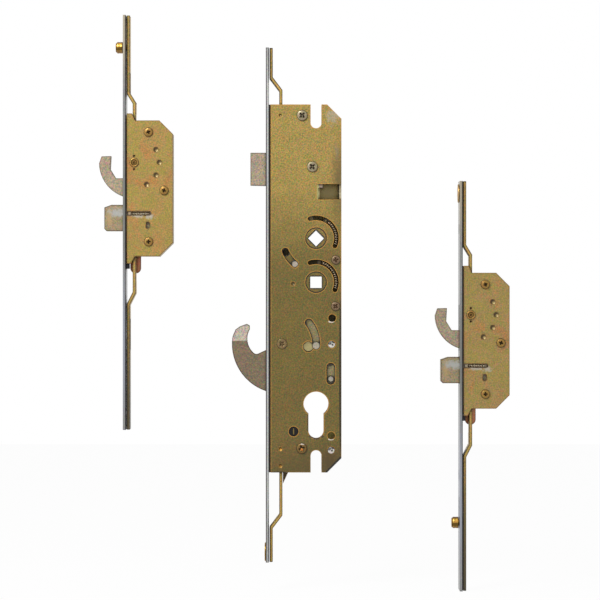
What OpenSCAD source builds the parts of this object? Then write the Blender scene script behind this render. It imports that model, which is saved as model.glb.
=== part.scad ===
// Multipoint door lock, laid out as its three lengths: the top bolt section, the centre lock case
// and the bottom bolt section. X runs from the door's edge into the door, Z runs up the door and
// Y runs through the door's thickness. The origin is on the axis of the cylinder hole, halfway
// through the case. Everything is drawn thrown: hooks, deadbolts and latch stand out.

/* [Strip] */
// Faceplate's outer face to the cylinder axis
backset = 35; // [33:0.5:40]
// Width of the faceplate strips
face_w = 16; // [16:0.5:20]
// Thickness of the faceplate strips
face_t = 2; // [2:0.1:2.6]
// Length of the centre strip above the case
strip_above = 39.6; // [36:0.1:50]
// Length of the centre strip below the case
strip_below = 62.7; // [58:0.1:75]
// Radius of the screw holes in the strips
strip_hole_r = 2.3; // [2:0.1:2.5]
// Radius of the countersinks of those holes
strip_sink_r = 4.2; // [3.5:0.1:5]

/* [Centre case] */
// Thickness of the cases, over both plates
case_t = 14; // [13.5:0.1:15]
// Thickness of the case plates
plate_t = 1.5; // [1.2:0.1:1.6]
// Cylinder axis to the back of the case
case_rear = 17.7; // [17:0.1:22]
// Cylinder axis to the top of the case
case_up = 209.1; // [207:0.1:215]
// Cylinder axis to the bottom of the case
case_down = 47.6; // [46:0.1:52]
// Size of the cut corners at the back of the case
case_cut = 10; // [6:0.5:11]
// Step from the strip to the edge of the cover plates
cover_step = 1.3; // [0.6:0.1:1.3]
// Radius of the notches for the handle screws
notch_r = 3.8; // [3:0.1:4.2]
// Radius of the round part of the cylinder hole
cyl_r = 8.75; // [8.5:0.05:9]
// Width of the stem of the cylinder hole
cyl_stem_w = 10.6; // [10:0.1:11]
// Height of the whole cylinder hole
cyl_hole_h = 33; // [31:0.1:34]

/* [Followers] */
// Cylinder axis to the upper follower
upper_follower_z = 115.8; // [115:0.1:117]
// Cylinder axis to the lower follower
lower_follower_z = 85.1; // [84:0.1:86]
// Side of the square spindle holes
spindle_sq = 8; // [7:0.1:8.5]
// Radius of the follower bosses in the plates
boss_r = 7.5; // [6.8:0.1:8]
// Radius of the follower bodies inside the case
follower_r = 10; // [9:0.1:10.5]
// Middle radius of the follower springs' slots
ring_r = 14.2; // [13.5:0.1:14.6]
// Width of the follower springs' slots
ring_w = 3.2; // [2.8:0.1:3.4]
// Turn of the upper follower that draws the latch
latch_turn = 28; // [24:0.5:30]

/* [Latch] */
// Latch bolt's reach past the strip
latch_out = 10.8; // [9:0.1:11]
// Latch bolt's thickness
latch_t = 10; // [8:0.1:10.4]
// Underside of the latch bolt above the cylinder axis
latch_z = 152.6; // [152:0.1:154]
// Height of the latch bolt
latch_h = 22.9; // [20:0.1:23]

/* [Drive] */
// Travel of the drive bars between thrown and drawn
drive_throw = 16; // [14:0.1:16.5]
// Thickness of the drive bars
bar_t = 2.2; // [1.8:0.1:2.4]
// Width of the drive bars
bar_w = 10; // [9:0.1:10.4]
// Space between the strip and a bar that runs beside it
bar_gap = 0.5; // [0.4:0.1:1]
// Thickness of the flat slides and levers
link_t = 1.9; // [1.6:0.1:2]
// Clearance between pieces that slide past each other
run_gap = 0.3; // [0.2:0.05:0.4]
// Radial clearance of pins and posts in their holes
pin_gap = 0.05; // [0.02:0.01:0.08]
// Cylinder axis to the side of the deadlock slide's pin
deadlock_x = 10.3; // [10:0.1:11]
// Travel of the deadlock slide
deadlock_throw = 8.5; // [6:0.5:9]

/* [Centre hook] */
// Strip's outer face to the hook's pivot
hook_u = 11.2; // [11:0.1:12]
// Hook's pivot above the cylinder axis
hook_z = 42.1; // [42:0.1:44]
// Radius of the hook's back about its pivot
hook_r = 35; // [33:0.1:35.5]
// Turn that draws the hook in
hook_turn = 97; // [95:0.5:98]
// Radius of the pivot post
post_r = 3; // [2.6:0.1:3.2]
// Radius from the pivot to the lever's pin
lever_r = 23.9; // [23.5:0.1:24.5]
// Radius of the lever's pin
lever_pin_r = 2.65; // [2.2:0.05:2.7]

/* [Bolt sections] */
// Depth of the bolt boxes behind the strip's outer face
box_depth = 34.8; // [34.8:0.1:38]
// Top of a bolt box above its hook's pivot
box_up = 29.4; // [29:0.1:32]
// Bottom of a bolt box below its hook's pivot
box_down = 65.4; // [64.5:0.1:66]
// Size of the cut corners at the back of a bolt box
box_cut = 9.4; // [6:0.1:10]
// Strip's outer face to a bolt box's hook pivot
small_hook_u = 7.8; // [7.6:0.1:8]
// Radius of a small hook's back about its pivot
small_hook_r = 24.8; // [23:0.1:25]
// Turn that draws a small hook in
small_hook_turn = 87; // [85:0.5:88]
// Radius of a small hook's pivot
small_post_r = 2.5; // [2.2:0.1:2.7]
// Deadbolt's reach past the strip
deadbolt_out = 13.1; // [11:0.1:13.2]
// Top of a deadbolt below its hook's pivot
deadbolt_w = 29.4; // [29:0.1:29.8]
// Height of a deadbolt
deadbolt_h = 18.3; // [17.6:0.1:18.4]
// Radius of the rollers
roller_r = 4; // [3.5:0.1:4.5]
// Rollers' reach past the strip
roller_out = 5.4; // [5:0.1:6]

/* [Screws] */
// Radius of the case screws' heads
screw_head_r = 3.6; // [3:0.1:4]
// Radius of the box screws' heads
box_head_r = 3; // [2.6:0.1:3.2]
// Radius of the screws' shanks
screw_r = 1.55; // [1.3:0.05:1.7]
// Radius of the pillars that take the screws
pillar_r = 3; // [2.8:0.1:3.1]
// Height of the screws' heads
screw_head_h = 1.5; // [1:0.1:2]

/* [Springs] */
// Diameter of the spring wire
wire_d = 0.6; // [0.5:0.05:0.65]
// Radius of a follower spring to the middle of its wire
ring_coil_r = 1.05; // [0.9:0.05:1.1]
// Curls of the upper follower's spring
upper_ring_curls = 11; // [8:1:12]
// Curls of the lower follower's spring
lower_ring_curls = 14; // [10:1:15]
// Curls of a deadbolt's spring
deadbolt_curls = 10; // [8:1:10]
// Curls of the latch's spring
latch_curls = 14; // [10:1:16]
// Radius of the latch's spring to the middle of its wire
latch_coil_r = 2; // [1.8:0.1:2.1]

/* [Hidden] */
$fn = 48;

// Colours of the real finishes
gold = [0.68, 0.56, 0.34];
steel = [0.56, 0.57, 0.62];
tan_steel = [0.58, 0.54, 0.46];
copper = [0.66, 0.42, 0.32];
brass = [0.78, 0.62, 0.22];
silver = [0.66, 0.65, 0.62];
black = [0.12, 0.12, 0.12];

// Depths through the case: plates, then a front layer, a core and a rear layer of moving pieces
over = 1;
y_out = case_t / 2;
y_in = y_out - plate_t;
front_0 = -y_in + run_gap;
front_1 = front_0 + link_t;
rear_1 = y_in - run_gap;
rear_0 = rear_1 - link_t;
core_0 = front_1 + run_gap;
core_1 = rear_0 - run_gap;

// Places along the door edge side, and the ends of the centre strip
strip_top = case_up + strip_above;
strip_low = -case_down - strip_below;
face_x = -backset;
face_in = face_x + face_t;
wall_in = face_in + plate_t;
cover_x = face_in + cover_step;
rear_in = case_rear - plate_t;
bar_x = face_in + bar_gap;
bar_shift = 6.8;
bar_in_x = bar_x + bar_shift;
bar_in_end = bar_in_x + bar_t;

// Places of the handle notches, screws, rivets and small holes in the case
notch_up_z = 196.3;
notch_down_z = -35.9;
window_x = 0.3;
window_z = [142.8, 153.6];
case_screw_at = [
  [-9.7, case_up - 7.7], [-2.6, latch_z + 13], [case_rear - 3.9, 100.7], [case_rear - 4.1, 68.3]
];
low_screw_at = [-10, -case_down + 16.8];
rivet_r = 2.5;
rivet_dome = 0.5;
rivet_at = [[case_rear - 6.8, hook_z - 0.4], [case_rear - 7.2, -case_down + 15.5]];
hole_r = 2.65;
hole_at = [[case_rear - 6.5, 60.1], [case_rear - 7.1, -case_down + 25.7]];
pierced_r = 1.5;
pierced_depth = 1.2;
pierced_x = bar_in_x + 0.9;
pierced_at = [
  [pierced_x, case_up - 7.6], [pierced_x, -case_down + 16.4], [pierced_x, -case_down + 4.6]
];
slotted_at = [-15.7, -19];
slotted_r = 3.4;
slotted_sink = 0.4;
dimple_depth = 0.9;
case_dimple_r = 1.6;
case_dimple_at = [-16, lower_follower_z - 1.1];
case_lug_drop = 8.9;
case_lug_w = 4;

// Cylinder hole
stem_r = cyl_stem_w / 2;
stem_z = -(cyl_hole_h - cyl_r - stem_r);

// Followers: arms, pins and the lugs that push the springs
arm_tip_r = 2.5;
arm_half = 1.7;
latch_throw = latch_out + 0.1;
latch_arm_a = 90 + latch_turn / 2;
latch_arm_r = latch_throw / 2 / sin(latch_turn / 2);
pin_arm_a = 231;
pin_arm_r = 23.3;
pin_arm_half = 3.6;
pin_hole_a = pin_arm_a - latch_turn + 2;
band_trim = 0.2;
band_past = 9;
follower_pin_r = 2.25;
slot_gap = 0.2;
drive_arm_u = 16.1;
drive_arm_r = backset - drive_arm_u;
drive_arm_a = asin(drive_throw / 2 / drive_arm_r);
drive_arm_half = 1.8;
drive_tip_r = 3;
notch_gap = 0.45;
ring_from = 107;
ring_to = -22;
lug_half = 1.2;
lug_top = ring_r + 1.4;
upper_lug_a = 61;
lower_lug_a = 81;
upper_ring_from = 53;
lower_ring_from = 73;
ring_spring_to = -18;

// Latch: tail, fork and spring
latch_back = wall_in;
latch_block_end = face_x + 17.2;
latch_tail_end = rear_in - latch_throw - run_gap;
tail_z = [latch_z - 1.8, latch_z + 3.8];
fork_x = -latch_arm_r * sin(latch_turn / 2);
fork_gap = arm_tip_r + 0.35;
fork_w = 4;
fork_z = upper_follower_z + latch_arm_r * cos(latch_turn / 2) - 1.8;
latch_spring_z = tail_z[1] + latch_coil_r + wire_d / 2 + run_gap;
latch_nose_y = 2;

// Hook, its lever and the slots of the drive slide that work them
hook_at = [face_x + hook_u, hook_z];
hook_hub_r = 7;
hook_pin_r = 2;
hook_pin_arm = drive_throw / 2 / sin(hook_turn / 2);
hook_pin_a = -hook_turn / 2;
hook_slot_gap = 0.75;
lever_from = -3;
lever_to = asin(sin(lever_from) + drive_throw / lever_r);
lever_half = 4.2;
lever_hub_r = 6;
lobe_r = 3.8;
lobe_at = [face_x + 29.6, hook_z - 2];
lug_wall = 1;
pivot_rim = 0.6;
pivot_head_h = 0.8;

// Centre drive slide
slide_clear = 1.5;
spine_w = 7.1;
limb_u = 16.3;
limb_w = 5.2;
bridge_h = 8.5;
hook_plate_up = 6;
hook_plate_down = 22;
hook_plate_rim = 6.4;
slide_x = wall_in + slide_clear;
spine_end = slide_x + spine_w;
limb_x = face_x + limb_u;
limb_end = limb_x + limb_w;
slide_top = case_up - plate_t - drive_throw - run_gap;
slide_low = -case_down + plate_t + 6;
bridge_z = [latch_z - drive_throw - bridge_h, latch_z - drive_throw - run_gap];
hook_plate_z = [hook_z - hook_plate_down, hook_z + hook_plate_up];
hook_plate_end = hook_at[0] + lever_r + hook_plate_rim;
lip_end = -15.5;
lip_t = 4;

// Deadlock slide
deadlock_pin_r = 1.95;
deadlock_slot_r = 3.05;
deadlock_pin_z = 17.6;
deadlock_slot_z = [deadlock_pin_z - 0.85, deadlock_pin_z + deadlock_throw - 0.3];
deadlock_half = 3;
deadlock_span = [-7, 10.9];

// Strip screws and rivets
sink_depth = 1.3;
centre_screw_z = [case_up + 28.9, -case_down - 22.4];
bar_slot_half = 2.6;
strip_rivet_z = -case_down - 56;
strip_rivet_r = 6.5;
strip_rivet_h = 0.9;
strip_rivet_shank_r = 2;

// Cranks of the centre bars: where each crank starts and ends
upper_crank_z = [case_up + 18.4, case_up + 9.4];
lower_crank_z = [-case_down - 38.4, -case_down - 29.4];
upper_bar_end = latch_z + latch_h + 4.5;
lower_bar_end = -case_down + 23.6;

// Bolt sections: strip face and hook pivot of each, and what differs between them
top_at = [-134.7, 168.55];
bottom_at = [100.2, 62.3];
bottom_span = [-192.7, 93.4];
top_roller_w = 80.8;
top_over_roller = 22.1;
top_span = [-186.4, top_roller_w + top_over_roller];
bottom_roller_w = -145.4;
bottom_rivet_w = 85;
section_screw_w = [60, -112];
box_x = face_t;
box_wall_in = face_t + plate_t;
box_rear_in = box_depth - plate_t;
box_lug_up = 4.9;
box_lug_down = 5;
box_lug_x = 3.7;
box_lug_slope = 1.9;
box_lug_taper = 0.8;
box_dimple_r = 1.85;
box_dimple_arc = 17.8;
box_dimple_a = [30, 0, -30, -60];
punch_r = 0.9;
punch_w = 4.6;
oval_at = [17.4, -43.7];
oval_r = 1.4;
oval_h = 2;
small_hub_r = 5;
small_pin_r = 2;
small_pin_arm = drive_throw / 2 / sin(small_hook_turn / 2);
small_pin_a = -small_hook_turn / 2;
small_slot_gap = 0.7;
small_bar_x = face_t + bar_gap;
small_bar_shift = 4.15;
small_bar_in = small_bar_x + small_bar_shift;
section_upper_crank = [48, 41.2];
section_lower_crank = [-98.5, -90.3];
section_upper_end = 8.5;
section_lower_end = -box_down + 1;
small_spine = [small_hook_u + small_post_r + 0.7, small_hook_u + small_post_r + 4.1];
small_slide_top = box_up - plate_t - drive_throw - run_gap;
small_slide_low = -box_down + 9;
small_lobe_end = small_hook_u + small_pin_arm + small_pin_r + 2.4;
tongue_x = [4.4, 11.9];
tongue_low = -box_down - 11.8;
cam_pin_r = 1.5;
cam_pin_at = [box_wall_in + 12.8, -deadbolt_w - deadbolt_h - 0.3];
cam_slot_r = cam_pin_r + run_gap;
cam_depth = 3.3;
deadbolt_y = [front_0, core_1];
deadbolt_tail_end = box_rear_in - deadbolt_out - run_gap;
deadbolt_tail_w = [-deadbolt_w - deadbolt_h - 3.3, -deadbolt_w + 2.2];
low_box_screw_w = min(-box_down + 10.2, deadbolt_tail_w[0] - pillar_r - run_gap);
box_screw_at = [[17.8, box_up - 8.2], [box_depth - 6.1, -19.5], [17.9, low_box_screw_w]];
spring_slot = [1.9, 19.8];
spring_slot_r = 1.5;
spring_slot_w = -deadbolt_w - 6.1;
guide_pin_r = 1.2;
guide_pin_u = 4.4;
bolt_coil_r = 1;
bolt_spring = [6.2, 18.2];
groove_r = bolt_coil_r + wire_d / 2 + 0.15;
roller_bore_r = 2;
roller_seat = 0.4;
stud_head_h = 0.7;
pad_w = 3.6;
pad_t = 2;

// Springs are drawn with this many rings a curl and sides a ring
curl_rings = 8;
wire_sides = 6;
free_gap = 0.4;

// Geometry helpers

// Gives an outline drawn in the XZ plane a depth from y0 to y1
module slab(y0, y1) {
  translate([0, y1, 0]) rotate([90, 0, 0]) linear_extrude(y1 - y0) children();
}

// Round bar along Y
module rod_y(at, r, y0, y1) {
  translate([at[0], y1, at[1]]) rotate([90, 0, 0]) cylinder(r = r, h = y1 - y0);
}

// Round bar along X
module rod_x(x0, x1, z, r) {
  translate([x0, 0, z]) rotate([0, 90, 0]) cylinder(r = r, h = x1 - x0);
}

// Box between two corners
module span_box(x, y, z) {
  translate([x[0], y[0], z[0]]) cube([x[1] - x[0], y[1] - y[0], z[1] - z[0]]);
}

// Rectangle between two corners
module span_rect(x, z) {
  translate([x[0], z[0]]) square([x[1] - x[0], z[1] - z[0]]);
}

// Bar with round ends from a to b
module obround(a, b, r) {
  d = b - a;
  translate(a) circle(r);
  translate(b) circle(r);
  translate(a) rotate(atan2(d[1], d[0])) translate([0, -r]) square([norm(d), 2 * r]);
}

function polar(r, a) = [r * cos(a), r * sin(a)];
function arc_points(c, r, a0, a1, n) = [for (i = [0 : n]) c + polar(r, a0 + (a1 - a0) * i / n)];

// Curved plate with square ends about the origin
module arc_band(r, half, a0, a1) {
  polygon(concat(arc_points([0, 0], r + half, a0, a1, 12), arc_points([0, 0], r - half, a1, a0, 12)));
}

// Curved slot with round ends about a centre
module arc_slot(c, r, half, a0, a1) {
  reach = 2 * (r + half);
  translate(c) {
    intersection() {
      difference() {
        circle(r + half);
        circle(r - half);
      }
      polygon(concat([[0, 0]], arc_points([0, 0], reach, a0, a1, 8)));
    }
    for (a = [a0, a1]) translate(polar(r, a)) circle(half);
  }
}

// Plate outline with its two rear corners cut
module cut_plate(x0, x1, z0, z1, c) {
  polygon([[x0, z0], [x1 - c, z0], [x1, z0 + c], [x1, z1 - c], [x1 - c, z1], [x0, z1]]);
}

// Edge of a pan: the cut plate less the same plate drawn in by the wall
module rim(x0, x1, z0, z1, c) {
  t = plate_t;
  difference() {
    cut_plate(x0, x1, z0, z1, c);
    cut_plate(x0 + t, x1 - t, z0 + t, z1 - t, c - t * (2 - sqrt(2)));
  }
}

// Screw along Y with a domed head and a cross recess, its head on the front plate
module cross_screw(at, head_r, shank_end) {
  dome_r = 2 * head_r;
  slot_w = head_r / 4;
  slot_l = head_r * 1.15;
  slot_d = screw_head_h * 0.6;
  difference() {
    union() {
      rod_y(at, screw_r, -y_out, shank_end);
      intersection() {
        rod_y(at, head_r, -y_out - screw_head_h, -y_out);
        translate([at[0], dome_r - y_out - screw_head_h, at[1]]) sphere(dome_r);
      }
    }
    translate([at[0], -y_out - screw_head_h + slot_d / 2, at[1]]) for (a = [0, 90]) {
      rotate([0, 45 + a, 0]) cube([slot_l, slot_d + 0.01, slot_w], center = true);
    }
  }
}

// Dish of radius r sunk in the front of a cover plate
module dish(at, r) {
  ball = (r * r + dimple_depth * dimple_depth) / (2 * dimple_depth);
  translate([at[0], -y_out + dimple_depth - ball, at[1]]) sphere(ball);
}

// Tapered dent sunk in the front of a cover plate
module dent(at, r, depth) {
  translate([at[0], -y_out + depth, at[1]]) rotate([90, 0, 0]) {
    cylinder(r1 = r / 8, r2 = r, h = depth);
    translate([0, 0, depth]) cylinder(r = r, h = over);
  }
}

// Countersunk screw hole through a strip whose outer face is at x
module strip_hole(x, z) {
  rod_x(x - over, x + face_t + over, z, strip_hole_r);
  translate([x, 0, z]) rotate([0, 90, 0]) {
    cylinder(r1 = strip_sink_r, r2 = strip_hole_r, h = sink_depth);
  }
}

// Slot in a bar that lets a strip screw pass through the bar's whole travel
module screw_slot(x0, x1, z) {
  span_box([x0, x1], [-bar_slot_half, bar_slot_half],
    [z - drive_throw - bar_slot_half, z + bar_slot_half]);
}

// Edge outline of a cranked bar that runs from z0 at x to z3 at x + shift
module cranked(x, shift, z0, crank, z3) {
  lean = bar_t * (crank[1] > crank[0] ? -0.41 : 0.41);
  polygon([
    [x, z0], [x, crank[0]], [x + shift, crank[1]], [x + shift, z3], [x + shift + bar_t, z3],
    [x + shift + bar_t, crank[1] + lean], [x + bar_t, crank[0] + lean], [x + bar_t, z0]
  ]);
}

// Spring helpers

function unit(v) = v / norm(v);

// Spine of a straight coil along X: middle and two side directions at each ring
function straight_spine(x, y, z, curls) = let (n = curls * curl_rings) [
  for (i = [0 : n]) [[x[0] + (x[1] - x[0]) * i / n, y, z], [0, 0, 1], [0, 1, 0]]
];

// Spine of a coil bent round a centre in the XZ plane
function arched_spine(c, r, y, a0, a1, curls) = let (n = curls * curl_rings) [
  for (i = [0 : n]) let (a = a0 + (a1 - a0) * i / n)
    [[c[0] + r * cos(a), y, c[1] + r * sin(a)], [cos(a), 0, sin(a)], [0, 1, 0]]
];

// Middle line of the wire with a straight end one wire thick at both ends
function wire_line(spine, r) = let (
  n = len(spine) - 1,
  out = [for (i = [0 : n]) let (a = 360 * i / curl_rings) cos(a) * spine[i][1] + sin(a) * spine[i][2]],
  line = [for (i = [0 : n]) spine[i][0] + r * out[i]],
  start = unit(spine[1][0] - spine[0][0]),
  finish = unit(spine[n][0] - spine[n - 1][0])
) [
  concat([line[0] - wire_d * start], line, [line[n] + wire_d * finish]),
  concat([out[0]], out, [out[n]])
];

// Least clear space between one turn of a wire and another
function wire_gap(line) = min([
  for (i = [0 : len(line) - 1], j = [i + curl_rings / 2 : 1 : min(i + 2 * curl_rings, len(line) - 1)])
    norm(line[j] - line[i])
]) - wire_d;

// One unbroken tube along a wire's middle line
module wire_tube(name, spine, r) {
  wire = wire_line(spine, r);
  line = wire[0];
  n = len(line) - 1;
  k = wire_sides;
  gap = wire_gap(line);
  echo(str(name, " least gap to itself ", gap, gap > free_gap ? " mm, clear" : " mm, TOO CLOSE"));
  rings = [
    for (i = [0 : n]) let (
      t = unit(line[min(i + 1, n)] - line[max(i - 1, 0)]),
      side = unit(wire[1][i] - (wire[1][i] * t) * t),
      lift = cross(t, side)
    ) [for (s = [0 : k - 1]) line[i] + wire_d / 2 * (cos(360 * s / k) * side + sin(360 * s / k) * lift)]
  ];
  walls = [
    for (i = [0 : n - 1], s = [0 : k - 1]) let (
      a = i * k + s,
      b = i * k + (s + 1) % k
    ) each [[a, a + k, b], [b, a + k, b + k]]
  ];
  caps = [for (s = [1 : k - 2]) each [[0, s, s + 1], [n * k, n * k + s + 1, n * k + s]]];
  polyhedron([for (ring = rings) each ring], concat(walls, caps));
}

// Centre case

// Notches for the handle screws in the top and bottom of the case
module handle_notches() {
  obround([0, notch_up_z], [0, case_up + 2 * notch_r], notch_r);
  obround([0, notch_down_z], [0, -case_down - 2 * notch_r], notch_r);
}

// Openings that go through both plates of the case
module case_through() {
  circle(cyl_r);
  obround([0, 0], [0, stem_z], stem_r);
  for (z = [upper_follower_z, lower_follower_z]) translate([0, z]) circle(boss_r + pin_gap);
  handle_notches();
  translate(hook_at) circle(post_r + pin_gap);
  for (p = rivet_at) translate(p) circle(rivet_r + pin_gap);
}

// Space for the hook as it swings in
module hook_mouth(x0, x1) {
  span_box([x0, x1], [core_0 - run_gap, core_1 + run_gap], [hook_z - hook_r - run_gap, hook_z + 8]);
}

module latch_mouth(x0, x1) {
  half = latch_t / 2 + run_gap;
  span_box([x0, x1], [-half, half], [latch_z - run_gap, latch_z + latch_h + run_gap]);
}

module centre_faceplate() {
  color(steel) difference() {
    span_box([face_x, face_in], [-face_w / 2, face_w / 2], [strip_low, strip_top]);
    hook_mouth(face_x - over, face_in + over);
    latch_mouth(face_x - over, face_in + over);
    for (z = centre_screw_z) strip_hole(face_x, z);
    rod_x(face_x - over, face_in + over, strip_rivet_z, strip_rivet_shank_r);
  }
}

// Rear plate of the case, with the lug beside the lower bar
module centre_case() {
  lug_x = bar_in_end + run_gap;
  cut_x = case_rear - case_cut;
  color(gold) slab(y_in, y_out) difference() {
    polygon([
      [face_in, -case_down], [lug_x, -case_down], [lug_x, -case_down - case_lug_drop],
      [lug_x + case_lug_w, -case_down], [cut_x, -case_down], [case_rear, case_cut - case_down],
      [case_rear, case_up - case_cut], [cut_x, case_up], [face_in, case_up]
    ]);
    case_through();
  }
}

// Gap in an end wall of the case for a bar
module bar_gate(z) {
  span_box([bar_in_x - run_gap, bar_in_end + run_gap], [-y_out, rear_0 + run_gap],
    [z - 2 * plate_t, z + 2 * plate_t]);
}

// Wall between the plates of the case, open at both handle notches
module centre_case_wall() {
  color(gold) difference() {
    slab(-y_in, y_in) rim(face_in, case_rear, -case_down, case_up, case_cut);
    slab(-y_out, y_out) handle_notches();
    for (p = case_screw_at) rod_y(p, pillar_r + pin_gap, -y_out, y_out);
    hook_mouth(face_in - over, wall_in + over);
    latch_mouth(face_in - over, wall_in + over);
    bar_gate(case_up);
    bar_gate(-case_down);
  }
}

// Tubes that take the screws between the plates
module screw_pillars(places) {
  for (p = places) difference() {
    rod_y(p, pillar_r, -y_in, y_in);
    rod_y(p, screw_r + pin_gap, -y_out, y_out);
  }
}

module centre_pillars() {
  color(silver) {
    screw_pillars(concat(case_screw_at, [low_screw_at]));
    rod_y(slotted_at, pillar_r, front_1, y_in);
  }
}

module centre_cover() {
  upper = [0, upper_follower_z];
  lower = [0, lower_follower_z];
  color(gold) difference() {
    slab(-y_out, -y_in) difference() {
      cut_plate(cover_x, case_rear, -case_down, case_up, case_cut);
      case_through();
      span_rect([window_x, case_rear + over], window_z);
      for (c = [upper, lower]) arc_slot(c, ring_r, ring_w / 2, ring_to, ring_from);
      arc_slot(upper, pin_arm_r, follower_pin_r + slot_gap, pin_arm_a - latch_turn, pin_arm_a);
      arc_slot(hook_at, lever_r, lever_pin_r + slot_gap, lever_from, lever_to);
      translate(lobe_at) circle(lobe_r);
      obround([deadlock_x, deadlock_slot_z[0]], [deadlock_x, deadlock_slot_z[1]], deadlock_slot_r);
      for (p = concat(case_screw_at, [low_screw_at])) translate(p) circle(screw_r + pin_gap);
      for (p = hole_at) translate(p) circle(hole_r);
      translate(slotted_at) circle(slotted_r + pin_gap);
    }
    dish(case_dimple_at, case_dimple_r);
    for (p = pierced_at) dent(p, pierced_r, pierced_depth);
  }
}

module case_screws() {
  color(silver) for (p = case_screw_at) cross_screw(p, screw_head_r, y_in - run_gap);
}

module lower_case_screw() {
  color(copper) cross_screw(low_screw_at, screw_head_r, y_in - run_gap);
}

module case_rivets() {
  ball = 1.5 * rivet_r;
  color(silver) for (p = rivet_at) intersection() {
    rod_y(p, rivet_r, -y_out - over, y_out);
    union() {
      translate([p[0], ball - y_out - rivet_dome, p[1]]) sphere(ball);
      rod_y(p, rivet_r + over, -y_out + over, y_out);
    }
  }
}

module slotted_screw() {
  slot_w = slotted_r / 4;
  color(black) difference() {
    rod_y(slotted_at, slotted_r, -y_out + slotted_sink, front_1);
    translate([slotted_at[0], -y_out + slotted_sink, slotted_at[1]]) {
      cube([slot_w, plate_t, 3 * slotted_r], center = true);
    }
  }
}

// Low rivet in a strip whose outer face is at x
module strip_rivet(x, z) {
  rod_x(x - strip_rivet_h, x, z, strip_rivet_r);
  rod_x(x, x + face_t, z, strip_rivet_shank_r - pin_gap);
}

module strip_rivets() {
  color(brass) {
    strip_rivet(face_x, strip_rivet_z);
    strip_rivet(bottom_at[0], bottom_at[1] + bottom_rivet_w);
  }
}

// Hook's outline about its pivot: back arc, blunt tip, throat, neck and heel
module hook_outline(r, tip_a, tip, throat, neck) {
  polygon(concat(arc_points([0, 0], r, 252, tip_a, 14), tip, throat, neck));
}

// Lug that carries the pin of a hook
module pin_lug(arm, a, hub, pin) {
  circle(hub);
  translate(polar(arm, a)) circle(pin + lug_wall);
  rotate(a) translate([0, -pin]) square([arm, 2 * pin]);
}

module centre_hook() {
  tip = [[-32.5, 10], [-29.3, 12.3], [-24.7, 13.9], [-22.6, 12.8]];
  throat = concat(arc_points([-10.9, 3.5], 13.4, 150, 227.6, 10),
    arc_points([-17.9, -4.2], 3, 241, 295, 4));
  color(tan_steel) translate([hook_at[0], 0, hook_at[1]]) difference() {
    union() {
      slab(core_0, core_1) {
        hook_outline(hook_r, 172, tip, throat, [[-10.8, -4.2], [-4, 3], [4, 0], [1, -14]]);
        pin_lug(hook_pin_arm, hook_pin_a, hook_hub_r, hook_pin_r);
      }
      rod_y(polar(hook_pin_arm, hook_pin_a), hook_pin_r, core_1 - over, rear_1 - run_gap);
    }
    rod_y([0, 0], post_r + pin_gap, core_0 - over, core_1 + over);
  }
}

// Pivot post with a low head on the front plate
module pivot_post(at, r, head_r, head_h) {
  rod_y(at, r, -y_out, y_out);
  rod_y(at, head_r, -y_out - head_h, -y_out);
}

module centre_hook_pivot() {
  color(silver) difference() {
    pivot_post(hook_at, post_r, post_r + pivot_rim, pivot_head_h);
    translate([hook_at[0], -y_out - pivot_head_h, hook_at[1]]) for (a = [45, 135]) {
      rotate([0, a, 0]) cube([post_r * 1.3, pivot_head_h, post_r / 3], center = true);
    }
  }
}

module hook_lever() {
  color(gold) translate([hook_at[0], 0, hook_at[1]]) slab(front_0, front_1) difference() {
    union() {
      circle(lever_hub_r);
      obround([0, 0], polar(lever_r, lever_from), lever_half);
      arc_band(lever_r, lever_half - band_trim, lever_from, lever_to + band_past);
    }
    circle(post_r + pin_gap);
    translate(polar(lever_r, lever_from)) circle(lever_pin_r + pin_gap / 2);
  }
}

module hook_lever_pin() {
  color(silver) rod_y(hook_at + polar(lever_r, lever_from), lever_pin_r, -y_out, rear_1 - run_gap);
}

// Latch

module latch_bolt() {
  half = latch_t / 2;
  nose = face_x - latch_out;
  color(tan_steel) {
    translate([0, 0, latch_z]) linear_extrude(latch_h) polygon([
      [nose, -half], [latch_back, -half], [latch_back, half], [face_x - 0.6, half],
      [nose, -latch_nose_y]
    ]);
    span_box([latch_back - over, latch_block_end], [-half, core_1],
      [latch_z + 0.6, latch_z + latch_h - 0.6]);
    span_box([latch_block_end - over, latch_tail_end], [front_0, core_1], tail_z);
    for (s = [-1, 1]) {
      inner = fork_x + s * fork_gap;
      outer = inner + s * fork_w;
      span_box([min(inner, outer), max(inner, outer)], [front_0, front_1], [fork_z, tail_z[0] + over]);
    }
  }
}

module latch_spring() {
  ends = [latch_block_end + run_gap + wire_d, rear_in - wire_d];
  color(silver) wire_tube("latch_spring",
    straight_spine(ends, 0, latch_spring_z, latch_curls), latch_coil_r);
}

// Followers

// Hub with its bosses, less the square spindle hole turned by a
module follower_hub(a) {
  difference() {
    union() {
      slab(-y_out, y_out) circle(boss_r);
      slab(front_0, rear_1) circle(follower_r);
      children();
    }
    slab(-y_out - over, y_out + over) rotate(a) square(spindle_sq, center = true);
  }
}

module spring_lug(a) {
  slab(front_0, front_1) rotate(a) translate([0, -lug_half]) square([lug_top, 2 * lug_half]);
}

module upper_follower() {
  color(tan_steel) translate([0, 0, upper_follower_z]) difference() {
    follower_hub(45) {
      slab(front_0, front_1) {
        obround([0, 0], polar(latch_arm_r, latch_arm_a), arm_half);
        translate(polar(latch_arm_r, latch_arm_a)) circle(arm_tip_r);
        obround([0, 0], polar(pin_arm_r, pin_arm_a), pin_arm_half);
        arc_band(pin_arm_r, pin_arm_half - band_trim, pin_arm_a, pin_hole_a - band_past);
      }
      spring_lug(upper_lug_a);
    }
    rod_y(polar(pin_arm_r, pin_arm_a), follower_pin_r + pin_gap / 2, front_0 - over, front_1 + over);
    rod_y(polar(pin_arm_r, pin_hole_a), follower_pin_r, front_0 - over, front_1 + over);
  }
}

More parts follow.
